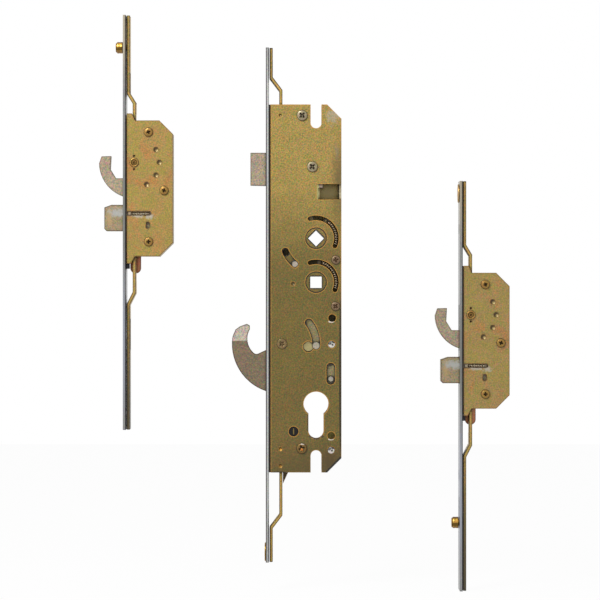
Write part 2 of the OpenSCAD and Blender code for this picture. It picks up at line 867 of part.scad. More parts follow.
module follower_pin() {
  at = [0, upper_follower_z] + polar(pin_arm_r, pin_arm_a);
  color(silver) rod_y(at, follower_pin_r, -y_out, front_1);
}

module lower_follower() {
  tip = polar(drive_arm_r, 180 + drive_arm_a);
  color(tan_steel) translate([0, 0, lower_follower_z]) follower_hub(0) {
    slab(rear_0, rear_1) {
      obround([0, 0], tip, drive_arm_half);
      translate(tip) circle(drive_tip_r);
    }
    spring_lug(lower_lug_a);
  }
}

module ring_spring(name, z, from, curls) {
  y = -y_in;
  color(silver) wire_tube(name,
    arched_spine([0, z], ring_r, y, from, ring_spring_to, curls), ring_coil_r);
}

module upper_follower_spring() {
  ring_spring("upper_follower_spring", upper_follower_z, upper_ring_from, upper_ring_curls);
}

module lower_follower_spring() {
  ring_spring("lower_follower_spring", lower_follower_z, lower_ring_from, lower_ring_curls);
}

// Deadlock slide

module deadlock_slide() {
  z = deadlock_pin_z;
  color(gold) slab(front_0, front_1) difference() {
    span_rect([deadlock_x - deadlock_half, deadlock_x + deadlock_half + 0.6],
      [z + deadlock_span[0], z + deadlock_span[1]]);
    translate([deadlock_x, z]) circle(deadlock_pin_r + pin_gap / 2);
  }
}

module deadlock_pin() {
  color(silver) rod_y([deadlock_x, deadlock_pin_z], deadlock_pin_r, -y_out, front_1);
}

// Centre drive

module centre_drive_slide() {
  arm_z = lower_follower_z - drive_throw / 2;
  notch = drive_tip_r + notch_gap;
  notch_x = -drive_arm_r - drive_tip_r - notch_gap;
  pin = hook_at + polar(hook_pin_arm, hook_pin_a);
  hook_slot = hook_pin_r + hook_slot_gap;
  lever_pin = hook_at + polar(lever_r, lever_from);
  lever_slot = lever_pin_r + hook_slot_gap;
  lever_near = hook_at[0] + lever_r * cos(lever_to);
  color(copper) slab(rear_0, rear_1) difference() {
    union() {
      span_rect([slide_x, spine_end], [slide_low, bridge_z[1]]);
      span_rect([slide_x, limb_end], bridge_z);
      span_rect([limb_x, limb_end], [bridge_z[0], slide_top]);
      span_rect([bar_in_x - over, limb_end], [latch_z + latch_h + 3, slide_top]);
      span_rect([slide_x, lip_end], [arm_z - notch - lip_t, arm_z + notch + lip_t]);
      span_rect([slide_x, hook_plate_end], hook_plate_z);
    }
    span_rect([notch_x, lip_end + over], [arm_z - notch, arm_z + notch]);
    obround(hook_at - [0, drive_throw], hook_at, post_r + run_gap);
    span_rect([pin[0] - hook_slot, hook_at[0] + hook_pin_arm + hook_slot],
      [pin[1] - hook_slot, pin[1] + hook_slot]);
    span_rect([lever_near - lever_slot, hook_at[0] + lever_r + lever_slot],
      [lever_pin[1] - lever_slot, lever_pin[1] + lever_slot]);
  }
}

module centre_upper_bar() {
  color(gold) difference() {
    slab(-bar_w / 2, bar_w / 2) {
      cranked(bar_x, bar_shift, strip_top, upper_crank_z, upper_bar_end);
    }
    screw_slot(face_in, bar_in_end + over, centre_screw_z[0]);
    span_box([bar_in_x - over, bar_in_end + over], [rear_0, bar_w], [0, case_up + run_gap]);
  }
}

module centre_lower_bar() {
  color(gold) difference() {
    slab(-bar_w / 2, bar_w / 2) {
      cranked(bar_x, bar_shift, strip_low, lower_crank_z, lower_bar_end);
    }
    screw_slot(face_in, bar_in_end + over, centre_screw_z[1]);
    span_box([bar_in_x - over, bar_in_end + over], [rear_0, bar_w],
      [-case_down - drive_throw - run_gap, 0]);
  }
}

// Bolt sections: each module draws at the strip's face and the hook's pivot of the section

module at_section(at) {
  translate([at[0], 0, at[1]]) children();
}

module section_faceplate(span, roller_w, rivet_w) {
  half = roller_bore_r + run_gap;
  color(steel) difference() {
    span_box([0, face_t], [-face_w / 2, face_w / 2], span);
    span_box([-over, face_t + over], [core_0 - run_gap, core_1 + run_gap],
      [-small_hook_r - run_gap, small_hub_r + 2]);
    span_box([-over, face_t + over], [deadbolt_y[0] - run_gap, deadbolt_y[1] + run_gap],
      [-deadbolt_w - deadbolt_h - run_gap, -deadbolt_w + run_gap]);
    for (w = section_screw_w) strip_hole(0, w);
    for (w = [roller_w, roller_w + drive_throw]) rod_x(-over, face_t + over, w, half);
    span_box([-over, face_t + over], [-half, half], [roller_w, roller_w + drive_throw]);
    if (rivet_w > 0) rod_x(-over, face_t + over, rivet_w, strip_rivet_shank_r);
  }
}

// Outline of a bolt box with its two lugs beside the strip
module box_plate(x0) {
  top = box_up + box_lug_up;
  low = -box_down - box_lug_down;
  wide = x0 + box_lug_x + box_lug_slope;
  cut_x = box_depth - box_cut;
  polygon([
    [x0, low], [x0 + box_lug_x - box_lug_taper, low], [wide, -box_down], [cut_x, -box_down],
    [box_depth, box_cut - box_down], [box_depth, box_up - box_cut], [cut_x, box_up],
    [wide, box_up], [x0 + box_lug_x, top], [x0, top]
  ]);
}

module section_case() {
  color(gold) slab(y_in, y_out) difference() {
    box_plate(box_x);
    translate([small_hook_u, 0]) circle(small_post_r + pin_gap);
  }
}

// Wall between the plates of a bolt box, open at the bars and the tongue
module section_case_wall() {
  gate = [small_bar_in - run_gap, small_bar_in + bar_t + run_gap];
  tongue = [tongue_x[0] - run_gap, tongue_x[1] + run_gap];
  color(gold) difference() {
    slab(-y_in, y_in) rim(box_x, box_depth, -box_down, box_up, box_cut);
    span_box([0, box_wall_in + over], [core_0 - run_gap, core_1 + run_gap],
      [-small_hook_r - run_gap, small_hub_r + 2]);
    span_box([0, box_wall_in + over], [deadbolt_y[0] - run_gap, deadbolt_y[1] + run_gap],
      [-deadbolt_w - deadbolt_h - run_gap, -deadbolt_w + run_gap]);
    span_box(gate, [-y_out, y_out], [box_up - 2 * plate_t, box_up + over]);
    span_box(gate, [-y_out, y_out], [-box_down - over, -box_down + 2 * plate_t]);
    span_box(tongue, [rear_0 - run_gap, y_out], [-box_down - over, -box_down + 2 * plate_t]);
  }
}

module section_pillars() {
  color(silver) screw_pillars(box_screw_at);
}

module section_cover() {
  pivot = [small_hook_u, 0];
  color(gold) difference() {
    slab(-y_out, -y_in) difference() {
      box_plate(face_t + cover_step / 2);
      translate(pivot) circle(small_post_r + pin_gap);
      for (p = box_screw_at) translate(p) circle(screw_r + pin_gap);
      span_rect([0, spring_slot[1] - spring_slot_r],
        [spring_slot_w - spring_slot_r, spring_slot_w + spring_slot_r]);
      translate([spring_slot[1] - spring_slot_r, spring_slot_w]) circle(spring_slot_r);
      obround(oval_at - [0, oval_h / 2], oval_at + [0, oval_h / 2], oval_r);
    }
    for (a = box_dimple_a) {
      dish(pivot + polar(box_dimple_arc, a), box_dimple_r);
    }
    for (s = [-1, 1]) dent(pivot + [0, s * punch_w], punch_r, dimple_depth);
  }
}

module section_screws() {
  color(gold) for (p = box_screw_at) cross_screw(p, box_head_r, y_in - run_gap);
}

module section_hook() {
  tip = [[-23.1, 4.6], [-16.4, 4.8]];
  throat = [[-16.9, -4.5], [-13.1, -10.7], [-7.4, -10.7]];
  color(tan_steel) translate([small_hook_u, 0, 0]) difference() {
    union() {
      slab(core_0, core_1) {
        hook_outline(small_hook_r, 181, tip, throat, [[-3.4, 2.5], [0, 4.6], [3.6, 0], [2, -9]]);
        pin_lug(small_pin_arm, small_pin_a, small_hub_r, small_pin_r);
      }
      rod_y(polar(small_pin_arm, small_pin_a), small_pin_r, core_1 - over, rear_1 - run_gap);
    }
    rod_y([0, 0], small_post_r + pin_gap, core_0 - over, core_1 + over);
  }
}

module section_hook_pivot() {
  color(gold) pivot_post([small_hook_u, 0], small_post_r, small_post_r + pivot_rim, pivot_head_h);
}

module section_deadbolt() {
  foot = -deadbolt_w - deadbolt_h;
  nose_cut = [5, 1.8];
  foot_cut = 1.5;
  stop = box_wall_in + run_gap;
  drawn = cam_pin_at + [-deadbolt_out, drive_throw];
  color(tan_steel) difference() {
    union() {
      slab(deadbolt_y[0], deadbolt_y[1]) {
        polygon([
          [-deadbolt_out, foot + foot_cut], [-deadbolt_out + foot_cut, foot],
          [stop + over, foot], [stop + over, -deadbolt_w], [-deadbolt_out + nose_cut[0], -deadbolt_w],
          [-deadbolt_out, -deadbolt_w - nose_cut[1]]
        ]);
        span_rect([stop, deadbolt_tail_end], deadbolt_tail_w);
      }
      rod_y([guide_pin_u, spring_slot_w], guide_pin_r, -y_out + 0.2, deadbolt_y[0] + over);
    }
    slab(deadbolt_y[1] - cam_depth, deadbolt_y[1] + over) obround(cam_pin_at, drawn, cam_slot_r);
    span_box([bolt_spring[0] - 0.7, deadbolt_tail_end + over],
      [deadbolt_y[0] - over, deadbolt_y[0] + 2 * groove_r],
      [spring_slot_w - groove_r, spring_slot_w + groove_r]);
  }
}

module section_deadbolt_spring(name) {
  y = deadbolt_y[0] + groove_r;
  color(silver) wire_tube(name,
    straight_spine(bolt_spring, y, spring_slot_w, deadbolt_curls), bolt_coil_r);
}

module section_drive_slide() {
  pin = [small_hook_u, 0] + polar(small_pin_arm, small_pin_a);
  slot = small_pin_r + small_slot_gap;
  frame_t = 2.4;
  tongue_r = (tongue_x[1] - tongue_x[0]) / 2;
  tongue_mid = tongue_x[0] + tongue_r;
  color(copper) {
    slab(rear_0, rear_1) difference() {
      union() {
        span_rect(small_spine, [small_slide_low, small_slide_top]);
        span_rect([small_bar_in - 0.5, small_spine[1]], [section_upper_end, small_slide_top]);
        span_rect([tongue_x[0], small_spine[1]], [small_slide_low - 4, small_slide_low + 3]);
        obround([tongue_mid, small_slide_low], [tongue_mid, tongue_low + tongue_r], tongue_r);
        span_rect([small_spine[0], small_lobe_end + frame_t],
          [pin[1] - slot - frame_t, pin[1] + slot + frame_t]);
        span_rect([small_spine[0], cam_pin_at[0] + cam_pin_r + 1],
          [cam_pin_at[1] - cam_pin_r - 1, cam_pin_at[1] + cam_pin_r + 1]);
      }
      span_rect([pin[0] - slot, small_lobe_end], [pin[1] - slot, pin[1] + slot]);
    }
    rod_y(cam_pin_at, cam_pin_r, core_1 - cam_depth + run_gap, rear_0 + over);
  }
}

module section_upper_bar(span) {
  color(gold) difference() {
    slab(-bar_w / 2, bar_w / 2) {
      cranked(small_bar_x, small_bar_shift, span[1], section_upper_crank, section_upper_end);
    }
    screw_slot(face_t, small_bar_in + bar_t + over, section_screw_w[0]);
    span_box([face_t, small_bar_in + bar_t + over], [rear_0, bar_w],
      [section_upper_end - over, box_up + box_lug_up]);
  }
}

module section_lower_bar(span) {
  color(gold) difference() {
    slab(-bar_w / 2, bar_w / 2) {
      cranked(small_bar_x, small_bar_shift, span[0], section_lower_crank, section_lower_end);
    }
    screw_slot(face_t, small_bar_in + bar_t + over, section_screw_w[1]);
    span_box([face_t, small_bar_in + bar_t + over], [rear_0, bar_w],
      [-box_down - drive_throw - over, section_lower_end + over]);
  }
}

module section_roller(w) {
  color(brass) difference() {
    rod_x(-roller_out + stud_head_h + pin_gap, -roller_seat, w, roller_r);
    rod_x(-roller_out, face_t, w, roller_bore_r + pin_gap);
  }
}

module section_roller_stud(w) {
  color(brass) {
    rod_x(-roller_out, small_bar_x, w, roller_bore_r);
    rod_x(-roller_out, -roller_out + stud_head_h, w, roller_r - 0.7);
  }
}

module section_pad() {
  low = -box_down - box_lug_down;
  color(black) span_box([face_t, face_t + pad_t], [-bar_w / 2, bar_w / 2], [low - pad_w, low]);
}

centre_faceplate();
centre_case();
centre_case_wall();
centre_pillars();
centre_cover();
case_screws();
lower_case_screw();
case_rivets();
slotted_screw();
strip_rivets();
centre_hook();
centre_hook_pivot();
hook_lever();
hook_lever_pin();
latch_bolt();
latch_spring();
upper_follower();
follower_pin();
lower_follower();
upper_follower_spring();
lower_follower_spring();
deadlock_slide();
deadlock_pin();
centre_drive_slide();
centre_upper_bar();
centre_lower_bar();
at_section(top_at) section_faceplate(top_span, top_roller_w, 0);  // top_faceplate
at_section(top_at) section_case();  // top_case
at_section(top_at) section_case_wall();  // top_case_wall
at_section(top_at) section_pillars();  // top_pillars
at_section(top_at) section_cover();  // top_cover
at_section(top_at) section_screws();  // top_screws
at_section(top_at) section_hook();  // top_hook
at_section(top_at) section_hook_pivot();  // top_hook_pivot
at_section(top_at) section_deadbolt();  // top_deadbolt
at_section(top_at) section_deadbolt_spring("top_deadbolt_spring");  // top_deadbolt_spring
at_section(top_at) section_drive_slide();  // top_drive_slide
at_section(top_at) section_upper_bar(top_span);  // top_upper_bar
at_section(top_at) section_lower_bar(top_span);  // top_lower_bar
at_section(top_at) section_roller(top_roller_w);  // top_roller
at_section(top_at) section_roller_stud(top_roller_w);  // top_roller_stud
at_section(top_at) section_pad();  // top_pad
at_section(bottom_at) section_faceplate(bottom_span, bottom_roller_w, bottom_rivet_w);  // bottom_faceplate
at_section(bottom_at) section_case();  // bottom_case
at_section(bottom_at) section_case_wall();  // bottom_case_wall
at_section(bottom_at) section_pillars();  // bottom_pillars
at_section(bottom_at) section_cover();  // bottom_cover
at_section(bottom_at) section_screws();  // bottom_screws
at_section(bottom_at) section_hook();  // bottom_hook
at_section(bottom_at) section_hook_pivot();  // bottom_hook_pivot
at_section(bottom_at) section_deadbolt();  // bottom_deadbolt
at_section(bottom_at) section_deadbolt_spring("bottom_deadbolt_spring");  // bottom_deadbolt_spring
at_section(bottom_at) section_drive_slide();  // bottom_drive_slide
at_section(bottom_at) section_upper_bar(bottom_span);  // bottom_upper_bar
at_section(bottom_at) section_lower_bar(bottom_span);  // bottom_lower_bar
at_section(bottom_at) section_roller(bottom_roller_w);  // bottom_roller
at_section(bottom_at) section_roller_stud(bottom_roller_w);  // bottom_roller_stud
at_section(bottom_at) section_pad();  // bottom_pad
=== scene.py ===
"""Looks of a multipoint door lock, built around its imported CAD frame.

The lock is shown as three lengths: the centre case, and a bolt section on either side of it. Sizes are
written in millimetres and become metres when a mesh is made.
"""

from __future__ import annotations

import logging
import math
from dataclasses import dataclass, field, replace
from enum import Enum
from typing import Callable, Optional, Sequence, Union

import bpy
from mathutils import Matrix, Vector


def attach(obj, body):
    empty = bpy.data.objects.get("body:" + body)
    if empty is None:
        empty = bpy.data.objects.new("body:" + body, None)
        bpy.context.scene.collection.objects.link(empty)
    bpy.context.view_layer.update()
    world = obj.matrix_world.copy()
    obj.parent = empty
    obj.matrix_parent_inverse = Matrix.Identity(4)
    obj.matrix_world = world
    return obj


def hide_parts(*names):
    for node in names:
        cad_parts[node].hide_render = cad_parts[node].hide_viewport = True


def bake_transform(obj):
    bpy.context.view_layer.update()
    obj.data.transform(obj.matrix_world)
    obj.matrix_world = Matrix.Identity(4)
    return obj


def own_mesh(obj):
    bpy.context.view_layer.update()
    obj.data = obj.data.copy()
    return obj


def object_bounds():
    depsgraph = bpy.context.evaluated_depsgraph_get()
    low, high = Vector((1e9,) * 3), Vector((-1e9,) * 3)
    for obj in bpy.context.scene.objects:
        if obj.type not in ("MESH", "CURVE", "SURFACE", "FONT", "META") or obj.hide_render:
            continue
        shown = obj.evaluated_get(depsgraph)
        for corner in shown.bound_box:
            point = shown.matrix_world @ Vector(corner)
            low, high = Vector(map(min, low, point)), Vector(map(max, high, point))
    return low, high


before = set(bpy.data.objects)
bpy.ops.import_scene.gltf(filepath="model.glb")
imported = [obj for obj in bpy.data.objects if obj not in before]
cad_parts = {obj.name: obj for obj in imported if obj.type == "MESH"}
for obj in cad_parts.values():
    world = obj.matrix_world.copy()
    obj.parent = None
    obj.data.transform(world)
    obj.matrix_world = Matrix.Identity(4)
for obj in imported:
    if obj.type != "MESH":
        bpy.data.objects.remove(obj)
CAD_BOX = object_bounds()

LOG = logging.getLogger("lock")
MM = 0.001
# Degrees: faces flatter than FLAT join, edges past SHARP are rounded, edges past CORNER stay hard.
FLAT, SHARP, CORNER = 0.5, 32, 42
WELD_M = 1e-6
METAL_IOR = 1.5
ROUGH_SWING = 0.22
BUMP = {"Strength": 0.5, "Distance": 0.01 * MM}
WHITE = (1, 1, 1, 1)
Rgb = tuple[float, float, float]
Point = tuple[float, float, float]
Pairs = tuple[tuple[float, float], ...]
Value = Union[float, Sequence[float], bpy.types.NodeSocket]
Look = dict[str, Value]
Sockets = dict[str, bpy.types.NodeSocket]
Spine = Callable[[float], tuple[Vector, Vector, Vector]]


def linear(colour: Rgb) -> tuple[float, float, float, float]:
    """Turns a display colour of 0 to 255 into the linear colour that shaders use, by the sRGB curve.

    Args:
        colour: Red, green and blue as they show on a screen.

    Returns:
        Linear red, green and blue, and full opacity.
    """
    shares = [level / 255 for level in colour]
    parts = [s / 12.92 if s <= 0.04045 else ((s + 0.055) / 1.055) ** 2.4 for s in shares]
    return parts[0], parts[1], parts[2], 1.0


def stand(name: str, data: bpy.types.ID) -> bpy.types.Object:
    """Makes an object of some data and puts it into the scene.

    Args:
        name: The object's name.
        data: Its mesh, lamp or camera.

    Returns:
        The object.
    """
    made = bpy.data.objects.new(name, data)
    bpy.context.scene.collection.objects.link(made)
    return made


def modify(piece: bpy.types.Object, kind: str, **values: object) -> None:
    """Gives an object a modifier.

    Args:
        piece: The object.
        kind: Blender's name of the modifier.
        values: Its settings.
    """
    made = piece.modifiers.new(kind.lower(), kind)
    for name, value in values.items():
        setattr(made, name, value)


def around(count: int) -> list[float]:
    """Gives a number of even angles round a circle."""
    return [2 * math.pi * i / count for i in range(count)]


class Graph:
    """Short way to add and join the nodes of one node tree."""

    def __init__(self, tree: bpy.types.NodeTree) -> None:
        """Keeps the tree that the nodes go to."""
        self.tree = tree

    def add(self, kind: str, inputs: Optional[dict] = None, **settings: object) -> bpy.types.Node:
        """Adds a shader node.

        Args:
            kind: The node's type after ShaderNode.
            inputs: What goes into its sockets, by name or number.
            settings: The node's own properties.

        Returns:
            The new node.
        """
        node = self.tree.nodes.new("ShaderNode" + kind)
        for name, value in settings.items():
            setattr(node, name, value)
        for key, value in (inputs or {}).items():
            self.feed(node.inputs[key], value)
        return node

    def feed(self, socket: bpy.types.NodeSocket, value: Value) -> None:
        """Links a socket into another, or sets its plain value.

        Args:
            socket: The socket that is fed.
            value: What goes into it.
        """
        if isinstance(value, bpy.types.NodeSocket):
            self.tree.links.new(value, socket)
        else:
            socket.default_value = value

    def math(self, operation: str, a: Value, b: Value = 0.0) -> bpy.types.NodeSocket:
        """Gives a Math node's result for two values."""
        return self.add("Math", {0: a, 1: b}, operation=operation).outputs[0]

    def vector(self, operation: str, a: Value, b: Value = (0, 0, 0)) -> bpy.types.NodeSocket:
        """Gives a Vector Math node's result for two values."""
        result = "Value" if operation in ("DOT_PRODUCT", "LENGTH") else "Vector"
        return self.add("VectorMath", {0: a, 1: b}, operation=operation).outputs[result]

    def where(self) -> bpy.types.NodeSocket:
        """Gives the surface's point in the object's own space."""
        return self.add("TexCoord").outputs["Object"]

    def noise(self, where: Value, scale: Value, detail: float, **more: float) -> bpy.types.Node:
        """Adds a noise texture at a place, with its scale and detail."""
        return self.add("TexNoise", {"Vector": where, "Scale": scale, "Detail": detail, **more})

    def swing(self, noise: bpy.types.Node, share: Value = 1.0) -> bpy.types.NodeSocket:
        """Gives a share of a noise's swing about zero."""
        return self.math("MULTIPLY", self.math("SUBTRACT", noise.outputs["Fac"], 0.5), share)

    def ramp(self, value: Value, low: Value, high: Value) -> bpy.types.NodeSocket:
        """Gives 0 at low, 1 at high and a smooth step between them."""
        ends = {"Value": value, "From Min": low, "From Max": high}
        return self.add("MapRange", ends, interpolation_type="SMOOTHSTEP").outputs["Result"]

    def effect(self, effect: Effect, **inputs: Value) -> bpy.types.Node:
        """Puts a shared effect into the tree, and builds its group the first time."""
        group = bpy.data.node_groups.get(effect.value[0]) or EffectGroup(effect).tree
        return self.add("Group", inputs, node_tree=group)

    def cover(self, colour: Value, mask: Value, share: float, over: Rgb) -> bpy.types.NodeSocket:
        """Lays a share of a display colour over another where a mask lets it."""
        return self.mix(self.math("MULTIPLY", mask, share), colour, linear(over))

    def mix(self, share: Value, a: Value, b: Value, blend: str = "MIX") -> bpy.types.NodeSocket:
        """Mixes two colours.

        Args:
            share: How much of b shows.
            a: First colour.
            b: Second colour.
            blend: Blender's name of the way they mix.

        Returns:
            The mixed colour's socket.
        """
        node = self.add("Mix", {0: share, 6: a, 7: b}, data_type="RGBA", blend_type=blend)
        return node.outputs[2]


class Effect(Enum):
    """Surface effects that several finishes share, with the inputs of each."""

    GRAIN = ("plating_grain", ("Scale", "Contrast", "Hue"))
    FILM = ("passivate_film", ("Scale", "Strength"))
    EDGE = ("edge_line", ("Width",))
    GRIME = ("corner_grime", ("Distance",))
    FADE = ("height_fade", ("Top", "Foot"))
    BRUSH = ("brushed_lines", ("Stretch", "Contrast"))
    SMEAR = ("smear_patch", ("Centre", "Reach", "Ragged", "Soft"))


class EffectGroup(Graph):
    """One shared effect as a shader node group."""

    KINDS = {"Tint": "Color", "Stretch": "Vector", "Centre": "Vector", "Reach": "Vector"}
    BROAD_SCALE, BROAD_SWING = 0.09, 0.4
    FILM_STOPS = (
        (0.30, (1.10, 0.86, 0.80, 1)), (0.43, WHITE), (0.55, (0.90, 1.06, 0.74, 1)), (0.64, WHITE),
        (0.72, (1.12, 0.92, 0.74, 1)),
    )
    EDGE_REACH, EDGE_TURN = 2.4, (0.002, 0.04)
    GRIME_NOISE, GRIME_SWING, GRIME_LEAST, GRIME_SHUT = 900.0, 0.6, 0.7, (0.13, 0.44)
    FADE_NOISE, FADE_WANDER = 28.0, 0.35
    SMEAR_NOISE = 420.0
    SAMPLES = 8

    def __init__(self, effect: Effect) -> None:
        """Builds the group, with the outputs that the method of the effect's name makes.

        Args:
            effect: Which effect it is.
        """
        label, names = effect.value
        super().__init__(bpy.data.node_groups.new(label, "ShaderNodeTree"))
        for name in names:
            self.socket(name, "INPUT")
        self.given: Sockets = {s.name: s for s in self.tree.nodes.new("NodeGroupInput").outputs}
        made: Sockets = getattr(self, effect.name.lower())()
        for name in made:
            self.socket(name, "OUTPUT")
        out = self.tree.nodes.new("NodeGroupOutput")
        for name, value in made.items():
            self.feed(out.inputs[name], value)

    def socket(self, name: str, side: str) -> None:
        """Gives the group a named socket on one side."""
        kind = "NodeSocket" + self.KINDS.get(name, "Float")
        self.tree.interface.new_socket(name=name, in_out=side, socket_type=kind)

    def grain(self) -> Sockets:
        """Makes the fine mottle of a plated surface.

        Returns:
            Tint and height, by name.
        """
        where = self.where()
        fine = self.noise(where, self.given["Scale"], 3.0)
        broad = self.noise(where, self.math("MULTIPLY", self.given["Scale"], self.BROAD_SCALE), 3.0)
        both = self.math("ADD", self.swing(fine), self.swing(broad, self.BROAD_SWING))
        level = self.math("ADD", self.math("MULTIPLY", both, self.given["Contrast"]), 1.0)
        hue = self.vector("SUBTRACT", fine.outputs["Color"], (0.5, 0.5, 0.5))
        tint = self.vector("ADD", self.vector("MULTIPLY", hue, self.given["Hue"]), level)
        return {"Tint": tint, "Height": fine.outputs["Fac"]}

    def film(self) -> Sockets:
        """Makes the pink and green patches of a passivate film.

        Returns:
            Tint, by name.
        """
        noise = self.noise(self.where(), self.given["Scale"], 2.5, Distortion=0.8)
        hues = self.add("ValToRGB", {"Fac": noise.outputs["Fac"]})
        stops = hues.color_ramp.elements
        stops.remove(stops[1])
        stops[0].position, stops[0].color = self.FILM_STOPS[0]
        for place, colour in self.FILM_STOPS[1:]:
            stops.new(place).color = colour
        return {"Tint": self.mix(self.given["Strength"], WHITE, hues.outputs["Color"])}

    def edge(self) -> Sockets:
        """Makes a mask of lines of a width along sharp edges.

        Returns:
            Mask, by name.
        """
        reach = self.math("MULTIPLY", self.given["Width"], self.EDGE_REACH)
        soft = self.add("Bevel", {"Radius": reach}, samples=self.SAMPLES).outputs["Normal"]
        same = self.vector("DOT_PRODUCT", soft, self.add("NewGeometry").outputs["Normal"])
        return {"Mask": self.ramp(self.math("SUBTRACT", 1.0, same), *self.EDGE_TURN)}

    def grime(self) -> Sockets:
        """Makes a mask of corners and gaps, which painted shade and muck darken.

        Returns:
            Mask, by name.
        """
        free = self.add("AmbientOcclusion", {"Distance": self.given["Distance"]}, samples=self.SAMPLES)
        shut = self.math("SUBTRACT", 1.0, free.outputs["AO"])
        noise = self.noise(self.where(), self.GRIME_NOISE, 3.0).outputs["Fac"]
        uneven = self.math("ADD", self.math("MULTIPLY", noise, self.GRIME_SWING), self.GRIME_LEAST)
        return {"Mask": self.ramp(self.math("MULTIPLY", shut, uneven), *self.GRIME_SHUT)}

    def fade(self) -> Sockets:
        """Makes a mask that grows from one height to another.

        Returns:
            Mask, by name.
        """
        where = self.where()
        height = self.add("SeparateXYZ", {0: where}).outputs["Z"]
        top, foot = self.given["Top"], self.given["Foot"]
        span = self.math("MULTIPLY", self.math("SUBTRACT", top, foot), self.FADE_WANDER)
        wander = self.swing(self.noise(where, self.FADE_NOISE, 2.0), span)
        return {"Mask": self.ramp(self.math("ADD", height, wander), top, foot)}

    def brush(self) -> Sockets:
        """Makes the drawn lines of rolled or ground metal.

        Returns:
            Tone and height, by name.
        """
        noise = self.noise(self.vector("MULTIPLY", self.where(), self.given["Stretch"]), 1.0, 6.0)
        tone = self.math("ADD", self.swing(noise, self.given["Contrast"]), 1.0)
        return {"Tone": tone, "Height": noise.outputs["Fac"]}

    def smear(self) -> Sockets:
        """Makes the mask of one ragged patch, which carries grease, wear, painted shade and painted
        highlights.

        Returns:
            Mask, by name.
        """
        where = self.where()
        offset = self.vector("SUBTRACT", where, self.given["Centre"])
        away = self.vector("DIVIDE", offset, self.given["Reach"])
        torn = self.swing(self.noise(where, self.SMEAR_NOISE, 5.0), self.given["Ragged"])
        inside = self.math("SUBTRACT", 1.0, self.math("ADD", self.vector("LENGTH", away), torn))
        return {"Mask": self.ramp(inside, 0.0, self.given["Soft"])}


@dataclass(frozen=True)
class Smear:
    """One patch of another colour on a finish, with its place and reach in the rest frame: grease, wear,
    painted shade, painted highlights and painted reflections.
    """

    centre: Point
    reach: Point
    colour: Rgb
    share: float = 0.8
    ragged: float = 1.2
    soft: float = 0.35
    metallic: float = 0.0
    roughness: float = 0.35


def crisp(
    centre: Point, reach: Point, colour: Rgb, share: float = 0.9, metallic: float = 0.9, ragged: float = 0.2
) -> Smear:
    """Gives a smear with a clean edge."""
    return Smear(centre, reach, colour, share, ragged, metallic=metallic)


def soft_smear(
    centre: Point, reach: Point, colour: Rgb, share: float, ragged: float = 0.8, metallic: float = 0.2
) -> Smear:
    """Gives a smear that fades out slowly."""
    return Smear(centre, reach, colour, share, ragged, 0.9, metallic)


